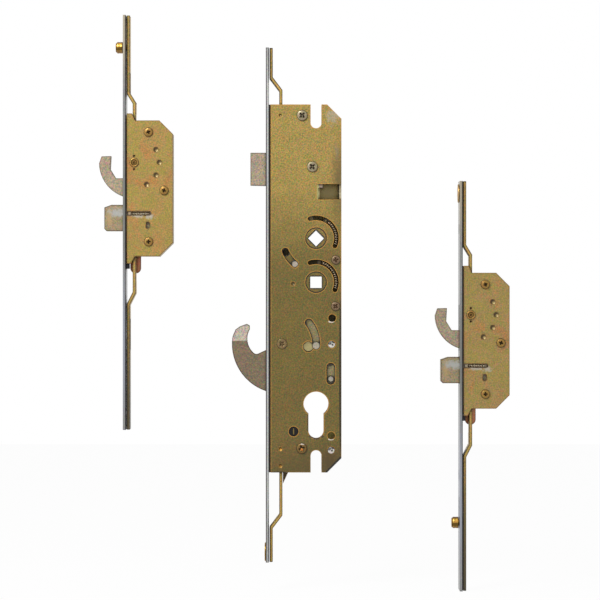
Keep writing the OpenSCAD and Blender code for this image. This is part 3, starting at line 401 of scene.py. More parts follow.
@dataclass(frozen=True)
class Metal:
    """A metal finish, with what the shared effects do to it."""

    name: str
    slot: str
    base: Rgb
    metallic: float = 0.9
    roughness: float = 0.4
    grain_mm: float = 0.9
    grain: float = 0.35
    hue: float = 0.9
    film: float = 0.0
    film_mm: float = 9.0
    brush: Optional[Point] = None
    brush_swing: float = 0.35
    # Edge line: a dark colour paints shade along sharp edges, GLINT paints a highlight there.
    edge: Optional[Rgb] = None
    edge_mm: float = 0.4
    edge_share: float = 0.7
    # Painted shade and muck in corners and gaps: strength, reach and colour.
    grime: float = 0.55
    grime_and_shade_mm: float = 2.2
    grime_and_shade_colour: Rgb = (46, 36, 22)
    foot: Optional[Rgb] = None
    fade_mm: tuple[float, float] = (209.0, -47.0)
    smears: tuple[Smear, ...] = ()

    def material(self) -> bpy.types.Material:
        """Builds the finish's material once.

        Returns:
            The material.
        """
        label = f"{self.name}_finish"
        known = bpy.data.materials.get(label)
        if known:
            return known
        made = bpy.data.materials.new(label)
        made.use_nodes = True
        graph = Graph(made.node_tree)
        shader = made.node_tree.nodes["Principled BSDF"]
        colour, height = self.colour(graph)
        rough = graph.math("MULTIPLY_ADD", height, ROUGH_SWING)
        rough.node.inputs[2].default_value = self.roughness - ROUGH_SWING / 2
        look: Look = {"Base Color": colour, "Roughness": rough, "Metallic": self.metallic}
        for smear in self.smears:
            self.spread(graph, smear, look)
        look["Normal"] = graph.add("Bump", {"Height": height, **BUMP}).outputs["Normal"]
        look["IOR"] = METAL_IOR
        for name, value in look.items():
            graph.feed(shader.inputs[name], value)
        return made

    def colour(self, graph: Graph) -> tuple[Value, bpy.types.NodeSocket]:
        """Lays the effects over the base colour.

        Args:
            graph: The material's nodes.

        Returns:
            The colour's socket and the surface's height.
        """
        colour: Value = linear(self.base)
        if self.foot:
            top, foot = (z * MM for z in self.fade_mm)
            fade = graph.effect(Effect.FADE, Top=top, Foot=foot)
            colour = graph.mix(fade.outputs["Mask"], colour, linear(self.foot))
        scale = 1 / (self.grain_mm * MM)
        grain = graph.effect(Effect.GRAIN, Scale=scale, Contrast=self.grain, Hue=self.hue)
        height = grain.outputs["Height"]
        colour = graph.mix(1.0, colour, grain.outputs["Tint"], "MULTIPLY")
        if self.brush:
            lines = graph.effect(Effect.BRUSH, Stretch=self.brush, Contrast=self.brush_swing)
            colour = graph.mix(1.0, colour, lines.outputs["Tone"], "MULTIPLY")
            height = lines.outputs["Height"]
        if self.film:
            film = graph.effect(Effect.FILM, Scale=1 / (self.film_mm * MM), Strength=self.film)
            colour = graph.mix(1.0, colour, film.outputs["Tint"], "MULTIPLY")
        # Edge lines: painted shade in a dark colour, a painted highlight in GLINT.
        if self.edge:
            line = graph.effect(Effect.EDGE, Width=self.edge_mm * MM)
            colour = graph.cover(colour, line.outputs["Mask"], self.edge_share, self.edge)
        # Corners and gaps darken with painted shade and muck, found by ambient occlusion.
        if self.grime:
            grime_and_shade_node = graph.effect(Effect.GRIME, Distance=self.grime_and_shade_mm * MM)
            colour = graph.cover(colour, grime_and_shade_node.outputs["Mask"], self.grime, self.grime_and_shade_colour)
        return colour, height

    @staticmethod
    def spread(graph: Graph, smear: Smear, look: Look) -> None:
        """Lays one smear over a look. A level that both share stays a plain number.

        Args:
            graph: The material's nodes.
            smear: The patch.
            look: What goes into the shader's sockets, changed in place.
        """
        centre, reach = ([v * MM for v in point] for point in (smear.centre, smear.reach))
        patch = graph.effect(
            Effect.SMEAR, Centre=centre, Reach=reach, Ragged=smear.ragged, Soft=smear.soft
        )
        share = graph.math("MULTIPLY", patch.outputs["Mask"], smear.share)
        look["Base Color"] = graph.mix(share, look["Base Color"], linear(smear.colour))
        for name, level in (("Roughness", smear.roughness), ("Metallic", smear.metallic)):
            if look[name] != level:
                ends = {0: share, 2: look[name], 3: level}
                look[name] = graph.add("Mix", ends, data_type="FLOAT").outputs[0]


@dataclass(frozen=True)
class Seat:
    """Where a turned piece sits: a point, its axis and the direction of its zero angle."""

    at: Point
    axis: Point
    side: Point

    def point(self, radius: float, angle: float, height: float) -> Vector:
        """Gives a point by its place round the axis.

        Args:
            radius: Distance from the axis.
            angle: Turn from the side, in radians.
            height: Place along the axis.

        Returns:
            The point, in millimetres.
        """
        axis, side = Vector(self.axis), Vector(self.side)
        turned = side * math.cos(angle) + axis.cross(side) * math.sin(angle)
        return Vector(self.at) + axis * height + turned * radius


@dataclass
class Shape:
    """Points and faces of one mesh in the making, in millimetres."""

    points: list[Vector] = field(default_factory=list)
    faces: list[tuple[int, ...]] = field(default_factory=list)

    def ring(self, points: Sequence[Vector]) -> list[int]:
        """Adds points and gives their numbers."""
        self.points.extend(points)
        return list(range(len(self.points) - len(points), len(self.points)))

    def wall(self, lower: list[int], upper: list[int]) -> None:
        """Joins two rings of the same count with faces."""
        self.faces.extend(zip(lower, lower[1:] + lower[:1], upper[1:] + upper[:1], upper))

    def lathe(self, seat: Seat, radius: float, height: float, segments: int) -> list[int]:
        """Adds a ring round a seat's axis and gives its points' numbers."""
        return self.ring([seat.point(radius, angle, height) for angle in around(segments)])

    def fan(self, ring: list[int], tip: Vector, up: bool) -> None:
        """Closes a ring with a point at its middle.

        Args:
            ring: Points of the ring.
            tip: The point.
            up: Whether the faces look along the axis.
        """
        middle = self.ring([tip])[0]
        pairs = zip(ring, ring[1:] + ring[:1])
        self.faces.extend((a, b, middle) if up else (b, a, middle) for a, b in pairs)

    def turn(self, seat: Seat, profile: Sequence[tuple[float, float]], segments: int = 48) -> None:
        """Adds a turned solid.

        Args:
            seat: Where it sits.
            profile: Radius and height from the foot's middle up to the top's middle.
            segments: Faces around it.
        """
        rings = [self.lathe(seat, radius, height, segments) for radius, height in profile[1:-1]]
        self.fan(rings[0], seat.point(0, 0, profile[0][1]), False)
        for lower, upper in zip(rings, rings[1:]):
            self.wall(lower, upper)
        self.fan(rings[-1], seat.point(0, 0, profile[-1][1]), True)

    def head(
        self, seat: Seat, radius: float, foot: float, rise: Callable[[float, float], float]
    ) -> None:
        """Adds a head whose top follows a height over its disc.

        Args:
            seat: Where it sits.
            radius: The head's radius.
            foot: Height of the flat underside.
            rise: Height at a radius and an angle.
        """
        segments, steps = 72, 22
        under = self.lathe(seat, radius, foot, segments)
        self.fan(under, seat.point(0, 0, foot), False)
        last = under
        for step in range(steps):
            r = radius * (1 - step / steps)
            ring = self.ring([seat.point(r, a, rise(r, a)) for a in around(segments)])
            self.wall(last, ring)
            last = ring
        self.fan(last, seat.point(0, 0, rise(0, 0)), True)

    def wire(self, line: Sequence[Vector], radius: float, sides: int = 10) -> None:
        """Adds a round wire along a line.

        Args:
            line: Middle of the wire.
            radius: The wire's radius.
            sides: Faces around it.
        """
        side = (line[1] - line[0]).orthogonal().normalized()
        last: list[int] = []
        for i, spot in enumerate(line):
            ahead = (line[min(i + 1, len(line) - 1)] - line[max(i - 1, 0)]).normalized()
            side = (side - ahead * side.dot(ahead)).normalized()
            up = ahead.cross(side)
            turns = [side * math.cos(a) + up * math.sin(a) for a in around(sides)]
            ring = self.ring([spot + turn * radius for turn in turns])
            if last:
                self.wall(last, ring)
            else:
                self.fan(ring, spot, False)
            last = ring
        self.fan(last, line[-1], True)

    def piece(self, name: str, body: Optional[str], finish: Metal, *nodes: str) -> bpy.types.Object:
        """Makes the mesh a piece of the lock.

        Args:
            name: The piece's name.
            body: The CAD body that it rides on, or None for a piece that rides on none.
            finish: What it is finished in.
            nodes: The CAD nodes that it stands for.

        Returns:
            The new object.
        """
        mesh = bpy.data.meshes.new(name)
        mesh.from_pydata([tuple(p * MM) for p in self.points], [], self.faces)
        mesh.polygons.foreach_set("use_smooth", [True] * len(mesh.polygons))
        mesh.materials.append(finish.material())
        mesh.update()
        piece = stand(name, mesh)
        modify(piece, "EDGE_SPLIT", split_angle=math.radians(CORNER))
        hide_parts(*nodes)
        LOG.info("%s stands for %s", name, ", ".join(nodes))
        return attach(piece, body) if body else piece


def dress(node: str, finish: Metal, round_mm: float) -> None:
    """Gives a CAD node its finish and rounds its edges.

    Args:
        node: The CAD node.
        finish: What it is finished in.
        round_mm: Width of the rounding along its edges.
    """
    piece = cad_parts[node]
    piece.data.materials.clear()
    piece.data.materials.append(finish.material())
    piece.data.polygons.foreach_set("use_smooth", [True] * len(piece.data.polygons))
    modify(piece, "WELD", merge_threshold=WELD_M)
    modify(piece, "DECIMATE", decimate_type="DISSOLVE", angle_limit=math.radians(FLAT))
    sharp = {"limit_method": "ANGLE", "angle_limit": math.radians(SHARP)}
    modify(piece, "BEVEL", width=round_mm * MM, segments=2, **sharp)
    modify(piece, "EDGE_SPLIT", split_angle=math.radians(CORNER))
    modify(piece, "WEIGHTED_NORMAL", keep_sharp=False)
    LOG.info("%s is finished in %s", node, finish.name)


def front_seat(x: float, y: float, z: float, turn: float = 0.0) -> Seat:
    """Gives the seat of a piece that faces the front, turned about its axis by some degrees."""
    angle = math.radians(turn)
    return Seat((x, y, z), (0, -1, 0), (math.cos(angle), 0, math.sin(angle)))


@dataclass(frozen=True)
class CrossScrew:
    """Screw with a low domed head and a cross recess.

    Falls and depth are shares of the head's height, rim and recess of its radius, the rest of the recess.
    """

    head_r: float
    head_h: float
    shank_r: float = 1.55
    shank_l: float = 11.0
    recess: float = 0.62
    recess_depth: float = 0.62
    dome_fall: float = 0.34
    rim: float = 0.9
    rim_fall: float = 0.3
    arm_half: float = 0.27
    side_slope: float = 0.135
    end_slope: float = 0.35

    def rise(self, radius: float, angle: float) -> float:
        """Gives the height of the head's top.

        Args:
            radius: Distance from the axis.
            angle: Turn from the recess's first arm, in radians.

        Returns:
            The height over the plate.
        """
        share = radius / self.head_r
        fall = self.dome_fall * share**2
        fall += self.rim_fall * (max(share - self.rim, 0.0) / (1 - self.rim)) ** 2
        reach = self.head_r * self.recess
        u, v = (abs(radius * turn(angle)) / reach for turn in (math.cos, math.sin))
        cut = 0.0
        for along, across in ((u, v), (v, u)):
            inside = min((self.arm_half - across) / self.side_slope, (1 - along) / self.end_slope, 1.0)
            cut = max(cut, inside)
        return self.head_h * (1 - fall - cut * self.recess_depth)

    def add(self, shape: Shape, seat: Seat) -> None:
        """Adds the screw's head and shank to a shape, the one a little into the other.

        Args:
            shape: What they are added to.
            seat: Where the screw sits.
        """
        shape.head(seat, self.head_r, 0.02, self.rise)
        r, foot, top = self.shank_r, -self.shank_l, 0.1
        shape.turn(seat, [(0, foot), (r, foot), (r, top), (0, top)], 20)


@dataclass(frozen=True)
class Coil:
    """Coil spring of round wire about a line."""

    curls: int
    coil_r: float
    wire_r: float = 0.3
    rings: int = 20

    def wound(self, spine: Spine) -> Shape:
        """Winds the wire about a spine.

        Args:
            spine: Point and two directions across at a share of the length.

        Returns:
            The spring's shape.
        """
        count = self.curls * self.rings
        line = []
        for i in range(count + 1):
            middle, out, over = spine(i / count)
            angle = 2 * math.pi * i / self.rings
            line.append(middle + (out * math.cos(angle) + over * math.sin(angle)) * self.coil_r)
        shape = Shape()
        shape.wire(line, self.wire_r)
        return shape


def straight(x0: float, x1: float, y: float, z: float) -> Spine:
    """Gives the spine of a straight spring along X.

    Args:
        x0: Where it starts.
        x1: Where it ends.
        y: Its depth.
        z: Its height.

    Returns:
        The spine.
    """

    def spine(share: float) -> tuple[Vector, Vector, Vector]:
        """Gives the point and directions at a share of the length."""
        return Vector((x0 + (x1 - x0) * share, y, z)), Vector((0, 0, 1)), Vector((0, 1, 0))

    return spine


def arched(z: float, radius: float, y: float, start: float, end: float) -> Spine:
    """Gives the spine of a spring bent round an axis along Y, at X 0.

    Args:
        z: Height of the axis.
        radius: Radius of the bend.
        y: Depth of the spine.
        start: Angle where it starts, in degrees.
        end: Angle where it ends.

    Returns:
        The spine.
    """

    def spine(share: float) -> tuple[Vector, Vector, Vector]:
        """Gives the point and directions at a share of the length."""
        angle = math.radians(start + (end - start) * share)
        out = Vector((math.cos(angle), 0, math.sin(angle)))
        return Vector((0, y, z)) + out * radius, out, Vector((0, 1, 0))

    return spine


GREASE: Rgb = (200, 196, 186)
BARE: Rgb = (186, 176, 164)
# GLINT is a painted highlight, for bright rims along edges.
GLINT: Rgb = (210, 152, 66)
# Near-black: the colour of painted shade, of the shade and muck in corners, and of some dark patches.
NEAR_BLACK: Rgb = (26, 22, 18)

# In these finishes a dark edge colour paints shade along sharp edges and GLINT paints a highlight there.
CASE_GOLD = Metal(
    "case_gold", "plated_plate", (166, 140, 74), metallic=0.2, roughness=0.42, film=0.35, film_mm=16,
    foot=(116, 98, 46), fade_mm=(165, 90), grain=0.8, hue=2.2, edge=GLINT, edge_mm=0.5,
    edge_share=0.75, grime=0.95, grime_and_shade_mm=3.0, grime_and_shade_colour=NEAR_BLACK,
    smears=(
        Smear((11.5, -7, 201), (6, 4, 7), BARE, share=0.5, ragged=2.4, soft=0.8, metallic=0.9),
        Smear((14.5, -7, 176), (2, 4, 8), BARE, share=0.3, ragged=2.6, soft=0.8, metallic=0.9),
        # Painted highlight on the window's right wall.
        crisp((17, -5.2, 148.2), (1.6, 0.9, 6.4), (232, 222, 190), metallic=0.6),
        # Painted shade: the dull tone of the shaded inside, seen through the window.
        crisp((8.5, 4.4, 148.2), (14, 1.6, 11), (124, 112, 80), 0.95, 1.0),
        # Painted highlight: the lit strip at the window's left.
        crisp((1.9, 4.4, 148.2), (1.2, 1.6, 9), (240, 232, 172), 0.95, 1.0),
        soft_smear((17, -7, 156), (9, 4, 42), (112, 94, 54), 0.85),
        # Painted shadow of the bar on the case's lug.
        crisp((-22, 6, -51.5), (5, 3, 5), (62, 50, 32), 0.8, 0.5, 0.6),
        # Painted shade down the case's right edge.
        crisp((17, -7, 18), (1.1, 1.2, 72), (34, 30, 18), 0.9, 0.2, 0.3),
        # Painted glints in the punched marks.
        crisp((-24.8, -6.5, 201.2), (0.7, 4, 0.7), (214, 188, 130), 0.7, 0.9, 0.1),
        *(crisp((-24.8, -6.5, z), (1.2, 4, 1.0), (236, 176, 76)) for z in (-31.7, -43.5)),
        # Painted highlights on the lower rims of two holes.
        *(crisp((x, -7, z), (2.4, 0.7, 0.9), (226, 214, 200)) for x, z in ((10.5, 57.6), (10.3, -24.4))),
        soft_smear((-4, -7, -48), (44, 4, 28), (88, 72, 34), 0.7),
        soft_smear((10, -7, -40), (12, 4, 18), (84, 66, 32), 0.8),
        crisp((-5.6, -7, -13), (0.9, 1.2, 8), (48, 38, 22), 0.7, 0.2, 0.3),
        *(
            crisp((x, -7, z), (r, 1.2, 1.2), (40, 36, 30), 0.85, 0.2)
            for x, z, r in ((-3.2, -22.4, 2.2), (0.2, -23.7, 3.2), (3.6, -22.4, 2.2))
        ),
        # Painted shade along the case's bottom left edge.
        crisp((-26, -7, -47.6), (8, 1.2, 0.9), (34, 30, 18), 0.85, 0.2, 0.3),
        # Painted shade down the chamfer at the lower right.
        *(
            crisp((17.2 - 1.3 * i, -7, -38 - 1.33 * i), (1.8, 1.8, 1.8), (30, 26, 16), 0.95, 0.0, 0.1)
            for i in range(8)
        ),
    ),
)
LINK_GOLD = replace(
    CASE_GOLD, name="link_gold", base=(158, 144, 116), foot=(140, 126, 90), grime_and_shade_mm=1.8, edge=None,
    smears=(
        Smear((9.6, -5, 28.4), (4, 3, 2.2), NEAR_BLACK, ragged=0.6),
        Smear((-5.6, -5, 40.1), (4, 3, 4), (178, 166, 116), ragged=0.8, metallic=0.9),
        Smear((-7.4, -5, 52.5), (1.9, 3, 7), NEAR_BLACK, share=0.65, ragged=0.4),
    ),
)
# The followers' edges carry painted shade, a dark ring round each boss.
FOLLOWER_GOLD = replace(
    CASE_GOLD, name="follower_gold", edge=NEAR_BLACK, edge_mm=0.8, edge_share=1.0, grime=0.8, smears=(),
)
BOX_GOLD = Metal(
    "box_gold", "box_plate", (167, 136, 74), metallic=0.2, roughness=0.42, film=1.0, film_mm=13,
    grain=0.6, hue=1.5, edge=(120, 84, 40), edge_mm=0.5, edge_share=0.8, grime=0.95, grime_and_shade_mm=2.6,
    grime_and_shade_colour=NEAR_BLACK,
)
BAR_GOLD = Metal(
    "bar_gold", "drive_bar", (184, 154, 88), roughness=0.38, brush=(900, 900, 40), grain=0.5, hue=1.2,
    edge=(44, 34, 22), edge_mm=0.6, edge_share=0.95, grime=0.9, grime_and_shade_mm=3.0, grime_and_shade_colour=NEAR_BLACK,
)
CENTRE_BAR = replace(
    BAR_GOLD, name="centre_bar_gold",
    # Painted shade: a dark line down each bar's side next to the strip.
    smears=tuple(crisp((-32.5, -5, z), (0.9, 4, 40), NEAR_BLACK, metallic=0.5) for z in (248, -98)),
)
STRIP = Metal(
    "strip_steel", "strip_steel", (188, 190, 186), roughness=0.34, brush=(1400, 1400, 30), grain=0.3,
    hue=0.8, edge=(40, 38, 48), edge_mm=0.6, edge_share=0.5, grime_and_shade_colour=(20, 20, 26),
    smears=(
        # Painted shade: dark lines down the strip's sides.
        crisp((-35, -8, 72), (0.8, 0.9, 400), (56, 44, 56), 0.95, 0.8, 0.1),
        *(
            crisp((-33, -8, z), (0.8, 0.9, reach), (44, 42, 50), 0.95, 0.8, 0.1)
            for z, reach in ((248, 30), (-98, 34))
        ),
    ),
)
LATCH_STEEL = Metal(
    "latch_steel", "bolt_steel", (164, 148, 126), metallic=0.5, roughness=0.45, grain=0.8, hue=1.8,
    edge=(70, 54, 46), edge_mm=0.55, edge_share=0.9,
    # Painted highlight: the lit strip at the window's left, where the latch shows through.
    smears=(crisp((0.9, -3, 148), (1.6, 6, 9), (214, 204, 128), metallic=0.7),),
)
HOOK_STEEL = Metal(
    "hook_steel", "bolt_steel", (192, 180, 162), metallic=0.5, roughness=0.48, grain=0.7, hue=1.7,
    foot=(126, 110, 88), fade_mm=(44.4, 43.9), edge=(58, 44, 44), edge_mm=0.6, edge_share=0.9,
)
SMALL_HOOK_STEEL = Metal(
    "small_hook_steel", "bolt_steel", (162, 146, 122), metallic=0.5, roughness=0.46, grain=0.8, hue=1.8,
    edge=(92, 78, 66), edge_mm=0.5, edge_share=0.85,
)
BRIGHT = Metal(
    "bright_zinc", "bright_steel", (172, 164, 148), roughness=0.34, grime=0.95, grime_and_shade_mm=1.2,
    grime_and_shade_colour=NEAR_BLACK, edge=(58, 48, 34), edge_mm=0.35, edge_share=0.85,
)
CASE_SCREW = replace(
    BRIGHT, name="case_screw_zinc", base=(158, 146, 118),
    smears=tuple(
        crisp((x, -8, z), (4, 4, 4), (112, 84, 62), 0.7, ragged=0.4)
        for x, z in ((13.8, 100.7), (13.6, 68.3))
    ),
)
BOX_SCREW = Metal(
    "box_screw_gold", "box_plate", (154, 120, 64), roughness=0.38, grime=0.75, grime_and_shade_mm=1.2,
    grime_and_shade_colour=NEAR_BLACK, edge=(62, 46, 26), edge_mm=0.35, edge_share=0.85,
)
PIVOT_GOLD = replace(BOX_SCREW, name="pivot_gold", base=(128, 108, 74), slot="bright_steel")
BRONZE = replace(
    BOX_SCREW, name="bronze_screw", base=(122, 98, 58), slot="copper_plate",
    smears=(
        # Painted highlights on the screw head: a glint just below its middle and a pale crescent near its
        # top.
        crisp((-10, -8, -31.5), (1.0, 4, 1.0), (240, 164, 84)),
        crisp((-9.2, -8, -27.7), (1.9, 4, 0.7), (214, 204, 190), 0.8),
    ),
)
SPRING = Metal(
    "spring_wire", "spring_steel", (226, 214, 190), roughness=0.3, grain=0.2, grain_mm=0.5, grime=0.0,
)
RING_SPRING = replace(SPRING, name="ring_spring_wire", base=(146, 130, 108), grime=0.6, grime_and_shade_mm=1.0)
COPPER = Metal(
    "copper_slide", "copper_plate", (170, 116, 88), roughness=0.42, hue=1.0, film=0.5, film_mm=6,
    edge=(70, 44, 32), edge_mm=0.5, edge_share=0.85, grime_and_shade_colour=NEAR_BLACK,
)
# The coarse lines along the roller's axis: brushed grain, and painted reflection bands.
BRASS = Metal(
    "roller_brass", "roller_brass", (190, 148, 70), roughness=0.34, grain=0.2, brush=(40, 320, 320),
    brush_swing=0.7, edge=(84, 54, 24), edge_mm=0.3, edge_share=0.7,
)
BLACK_STEEL = Metal(
    "black_oxide", "black_steel", (26, 25, 24), metallic=0.6, roughness=0.45, grime=0.0,
    # Painted reflection in the screw's slot.
    smears=(crisp((-15.7, -7, -19), (0.55, 4, 3.0), (150, 128, 74), metallic=0.8, ragged=0.1),),
)
BLACK_PAD = Metal("black_pad", "black_plastic", (28, 28, 30), metallic=0.0, roughness=0.6, grime=0.0)


class Section(Enum):
    """The two bolt sections: names, places of strip, hook pivot and roller, and the box's gold."""

    TOP = ("top", -134.7, 168.55, 80.8, (167, 136, 74))
    BOTTOM = ("bottom", 100.2, 62.3, -145.4, (169, 138, 83))

    def __init__(self, label: str, face_x: float, pivot_z: float, roller_w: float, gold: Rgb) -> None:
        """Names the parts of a section's value, lengths in millimetres."""
        self.label, self.face_x, self.pivot_z = label, face_x, pivot_z
        self.roller_w, self.gold = roller_w, gold


@dataclass
class CentreCase:
    """The centre length: the case with its latch, hook, followers and drive."""

    plate_y: float = -7.0
    screw: CrossScrew = CrossScrew(3.6, 1.5)
    rear_screw: CrossScrew = CrossScrew(3.0, 1.3)
    screw_at: tuple[Point, ...] = ((-9.7, 201.4, 45), (-2.6, 165.6, 40))
    rear_screw_at: tuple[Point, ...] = ((13.8, 100.7, 10), (13.6, 68.3, 50))
    low_screw_at: Point = (-10, -30.8, 20)
    rivet_at: Pairs = ((10.9, 41.7), (10.5, -32.1))
    rivet_r: float = 2.5
    rivet_dome: Pairs = (
        (1, -0.35), (0.97, -0.1), (0.86, 0.14), (0.62, 0.36), (0.4, 0.44), (0.26, 0.42), (0.16, 0.2),
        (0, 0.14),
    )
    # Painted shade on each rivet dome: offset right, offset up and reach of each patch.
    rivet_dome_shade: tuple[Point, ...] = ((-1.7, 1.5, 2.0), (1.3, 2.1, 1.6), (0.6, -0.2, 0.9))
    depth: float = 14.0
    pivot: CrossScrew = CrossScrew(3.6, 0.8, 3.0, 14.0)
    pivot_at: Point = (-23.8, 42.1, 45)
    latch_coil: Coil = Coil(14, 2.0)
    latch_line: tuple[float, float, float, float] = (-16.9, 15.6, 0, 159.0)
    ring_at: tuple[float, float] = (14.2, -5.5)
    ring_end: float = -18
    ring_rows: tuple[tuple[str, float, int, float], ...] = (
        ("upper_follower", 115.8, 11, 53), ("lower_follower", 85.1, 14, 73),
    )

    def build(self) -> None:
        """Builds the screws, rivets, pivot and springs of the case."""
        screws = [(self.screw, at) for at in self.screw_at]
        screws += [(self.rear_screw, at) for at in self.rear_screw_at]
        for name, finish, node, heads in (
            ("case_screw_set", CASE_SCREW, "case_screws", screws),
            ("bronze_case_screw", BRONZE, "lower_case_screw", [(self.screw, self.low_screw_at)]),
            ("hook_pivot_head", PIVOT_GOLD, "centre_hook_pivot", [(self.pivot, self.pivot_at)]),
        ):
            shape = Shape()
            for kind, (x, z, turn) in heads:
                kind.add(shape, front_seat(x, self.plate_y, z, turn))
            shape.piece(name, "lock_frame", finish, node)
        self.rivets()
        self.springs()

    def rivets(self) -> None:
        """Builds the two domed rivets with the punched pit of each, and painted shade on each dome, mostly
        over its upper half.
        """
        r = self.rivet_r
        profile = [(0, -self.depth), (r, -self.depth)] + [(r * share, up) for share, up in self.rivet_dome]
        rivets = Shape()
        for x, z in self.rivet_at:
            rivets.turn(front_seat(x, self.plate_y, z), profile)
        dome_shade = tuple(
            Smear((x + right, self.plate_y, z + up), (reach, 4, reach), NEAR_BLACK, share=0.9, ragged=0.3)
            for x, z in self.rivet_at
            for right, up, reach in self.rivet_dome_shade
        )
        zinc = replace(BRIGHT, name="case_rivet_zinc", base=(214, 210, 200), smears=dome_shade)
        rivets.piece("case_rivet_set", "lock_frame", zinc, "case_rivets")

    def springs(self) -> None:
        """Builds the latch spring, and the curved spring that each follower winds up."""
        latch = self.latch_coil.wound(straight(*self.latch_line))
        piece = latch.piece("latch_coil", "lock_frame", SPRING, "latch_spring")
        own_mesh(piece)
        for follower, z, curls, start in self.ring_rows:
            spine = arched(z, *self.ring_at, start, self.ring_end)
            shape = Coil(curls, 1.05).wound(spine)
            piece = shape.piece(f"{follower}_coil", None, RING_SPRING, f"{follower}_spring")
            tuple(spine(1)[0] * MM)
            tuple(spine(0)[0] * MM)
            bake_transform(piece)

    def finish(self) -> None:
        """Finishes the CAD nodes of the centre length."""
        coats: dict[str, tuple[Metal, float]] = {
            "centre_faceplate": (STRIP, 0.3), "centre_case": (CASE_GOLD, 0.3),
            "centre_case_wall": (CASE_GOLD, 0.15), "centre_pillars": (BRIGHT, 0.15),
            "centre_cover": (CASE_GOLD, 0.35), "slotted_screw": (BLACK_STEEL, 0.2),
            "strip_rivets": (BRASS, 0.3), "centre_hook": (HOOK_STEEL, 0.3), "hook_lever": (LINK_GOLD, 0.2),
            "hook_lever_pin": (BRIGHT, 0.3), "latch_bolt": (LATCH_STEEL, 0.3),
            "upper_follower": (FOLLOWER_GOLD, 0.45), "follower_pin": (BRIGHT, 0.3),
            "lower_follower": (FOLLOWER_GOLD, 0.45), "deadlock_slide": (LINK_GOLD, 0.2),
            "deadlock_pin": (BRIGHT, 0.3), "centre_drive_slide": (COPPER, 0.2),
            "centre_upper_bar": (CENTRE_BAR, 0.3), "centre_lower_bar": (CENTRE_BAR, 0.3),
        }
        for node, (coat, round_mm) in coats.items():
            dress(node, coat, round_mm)


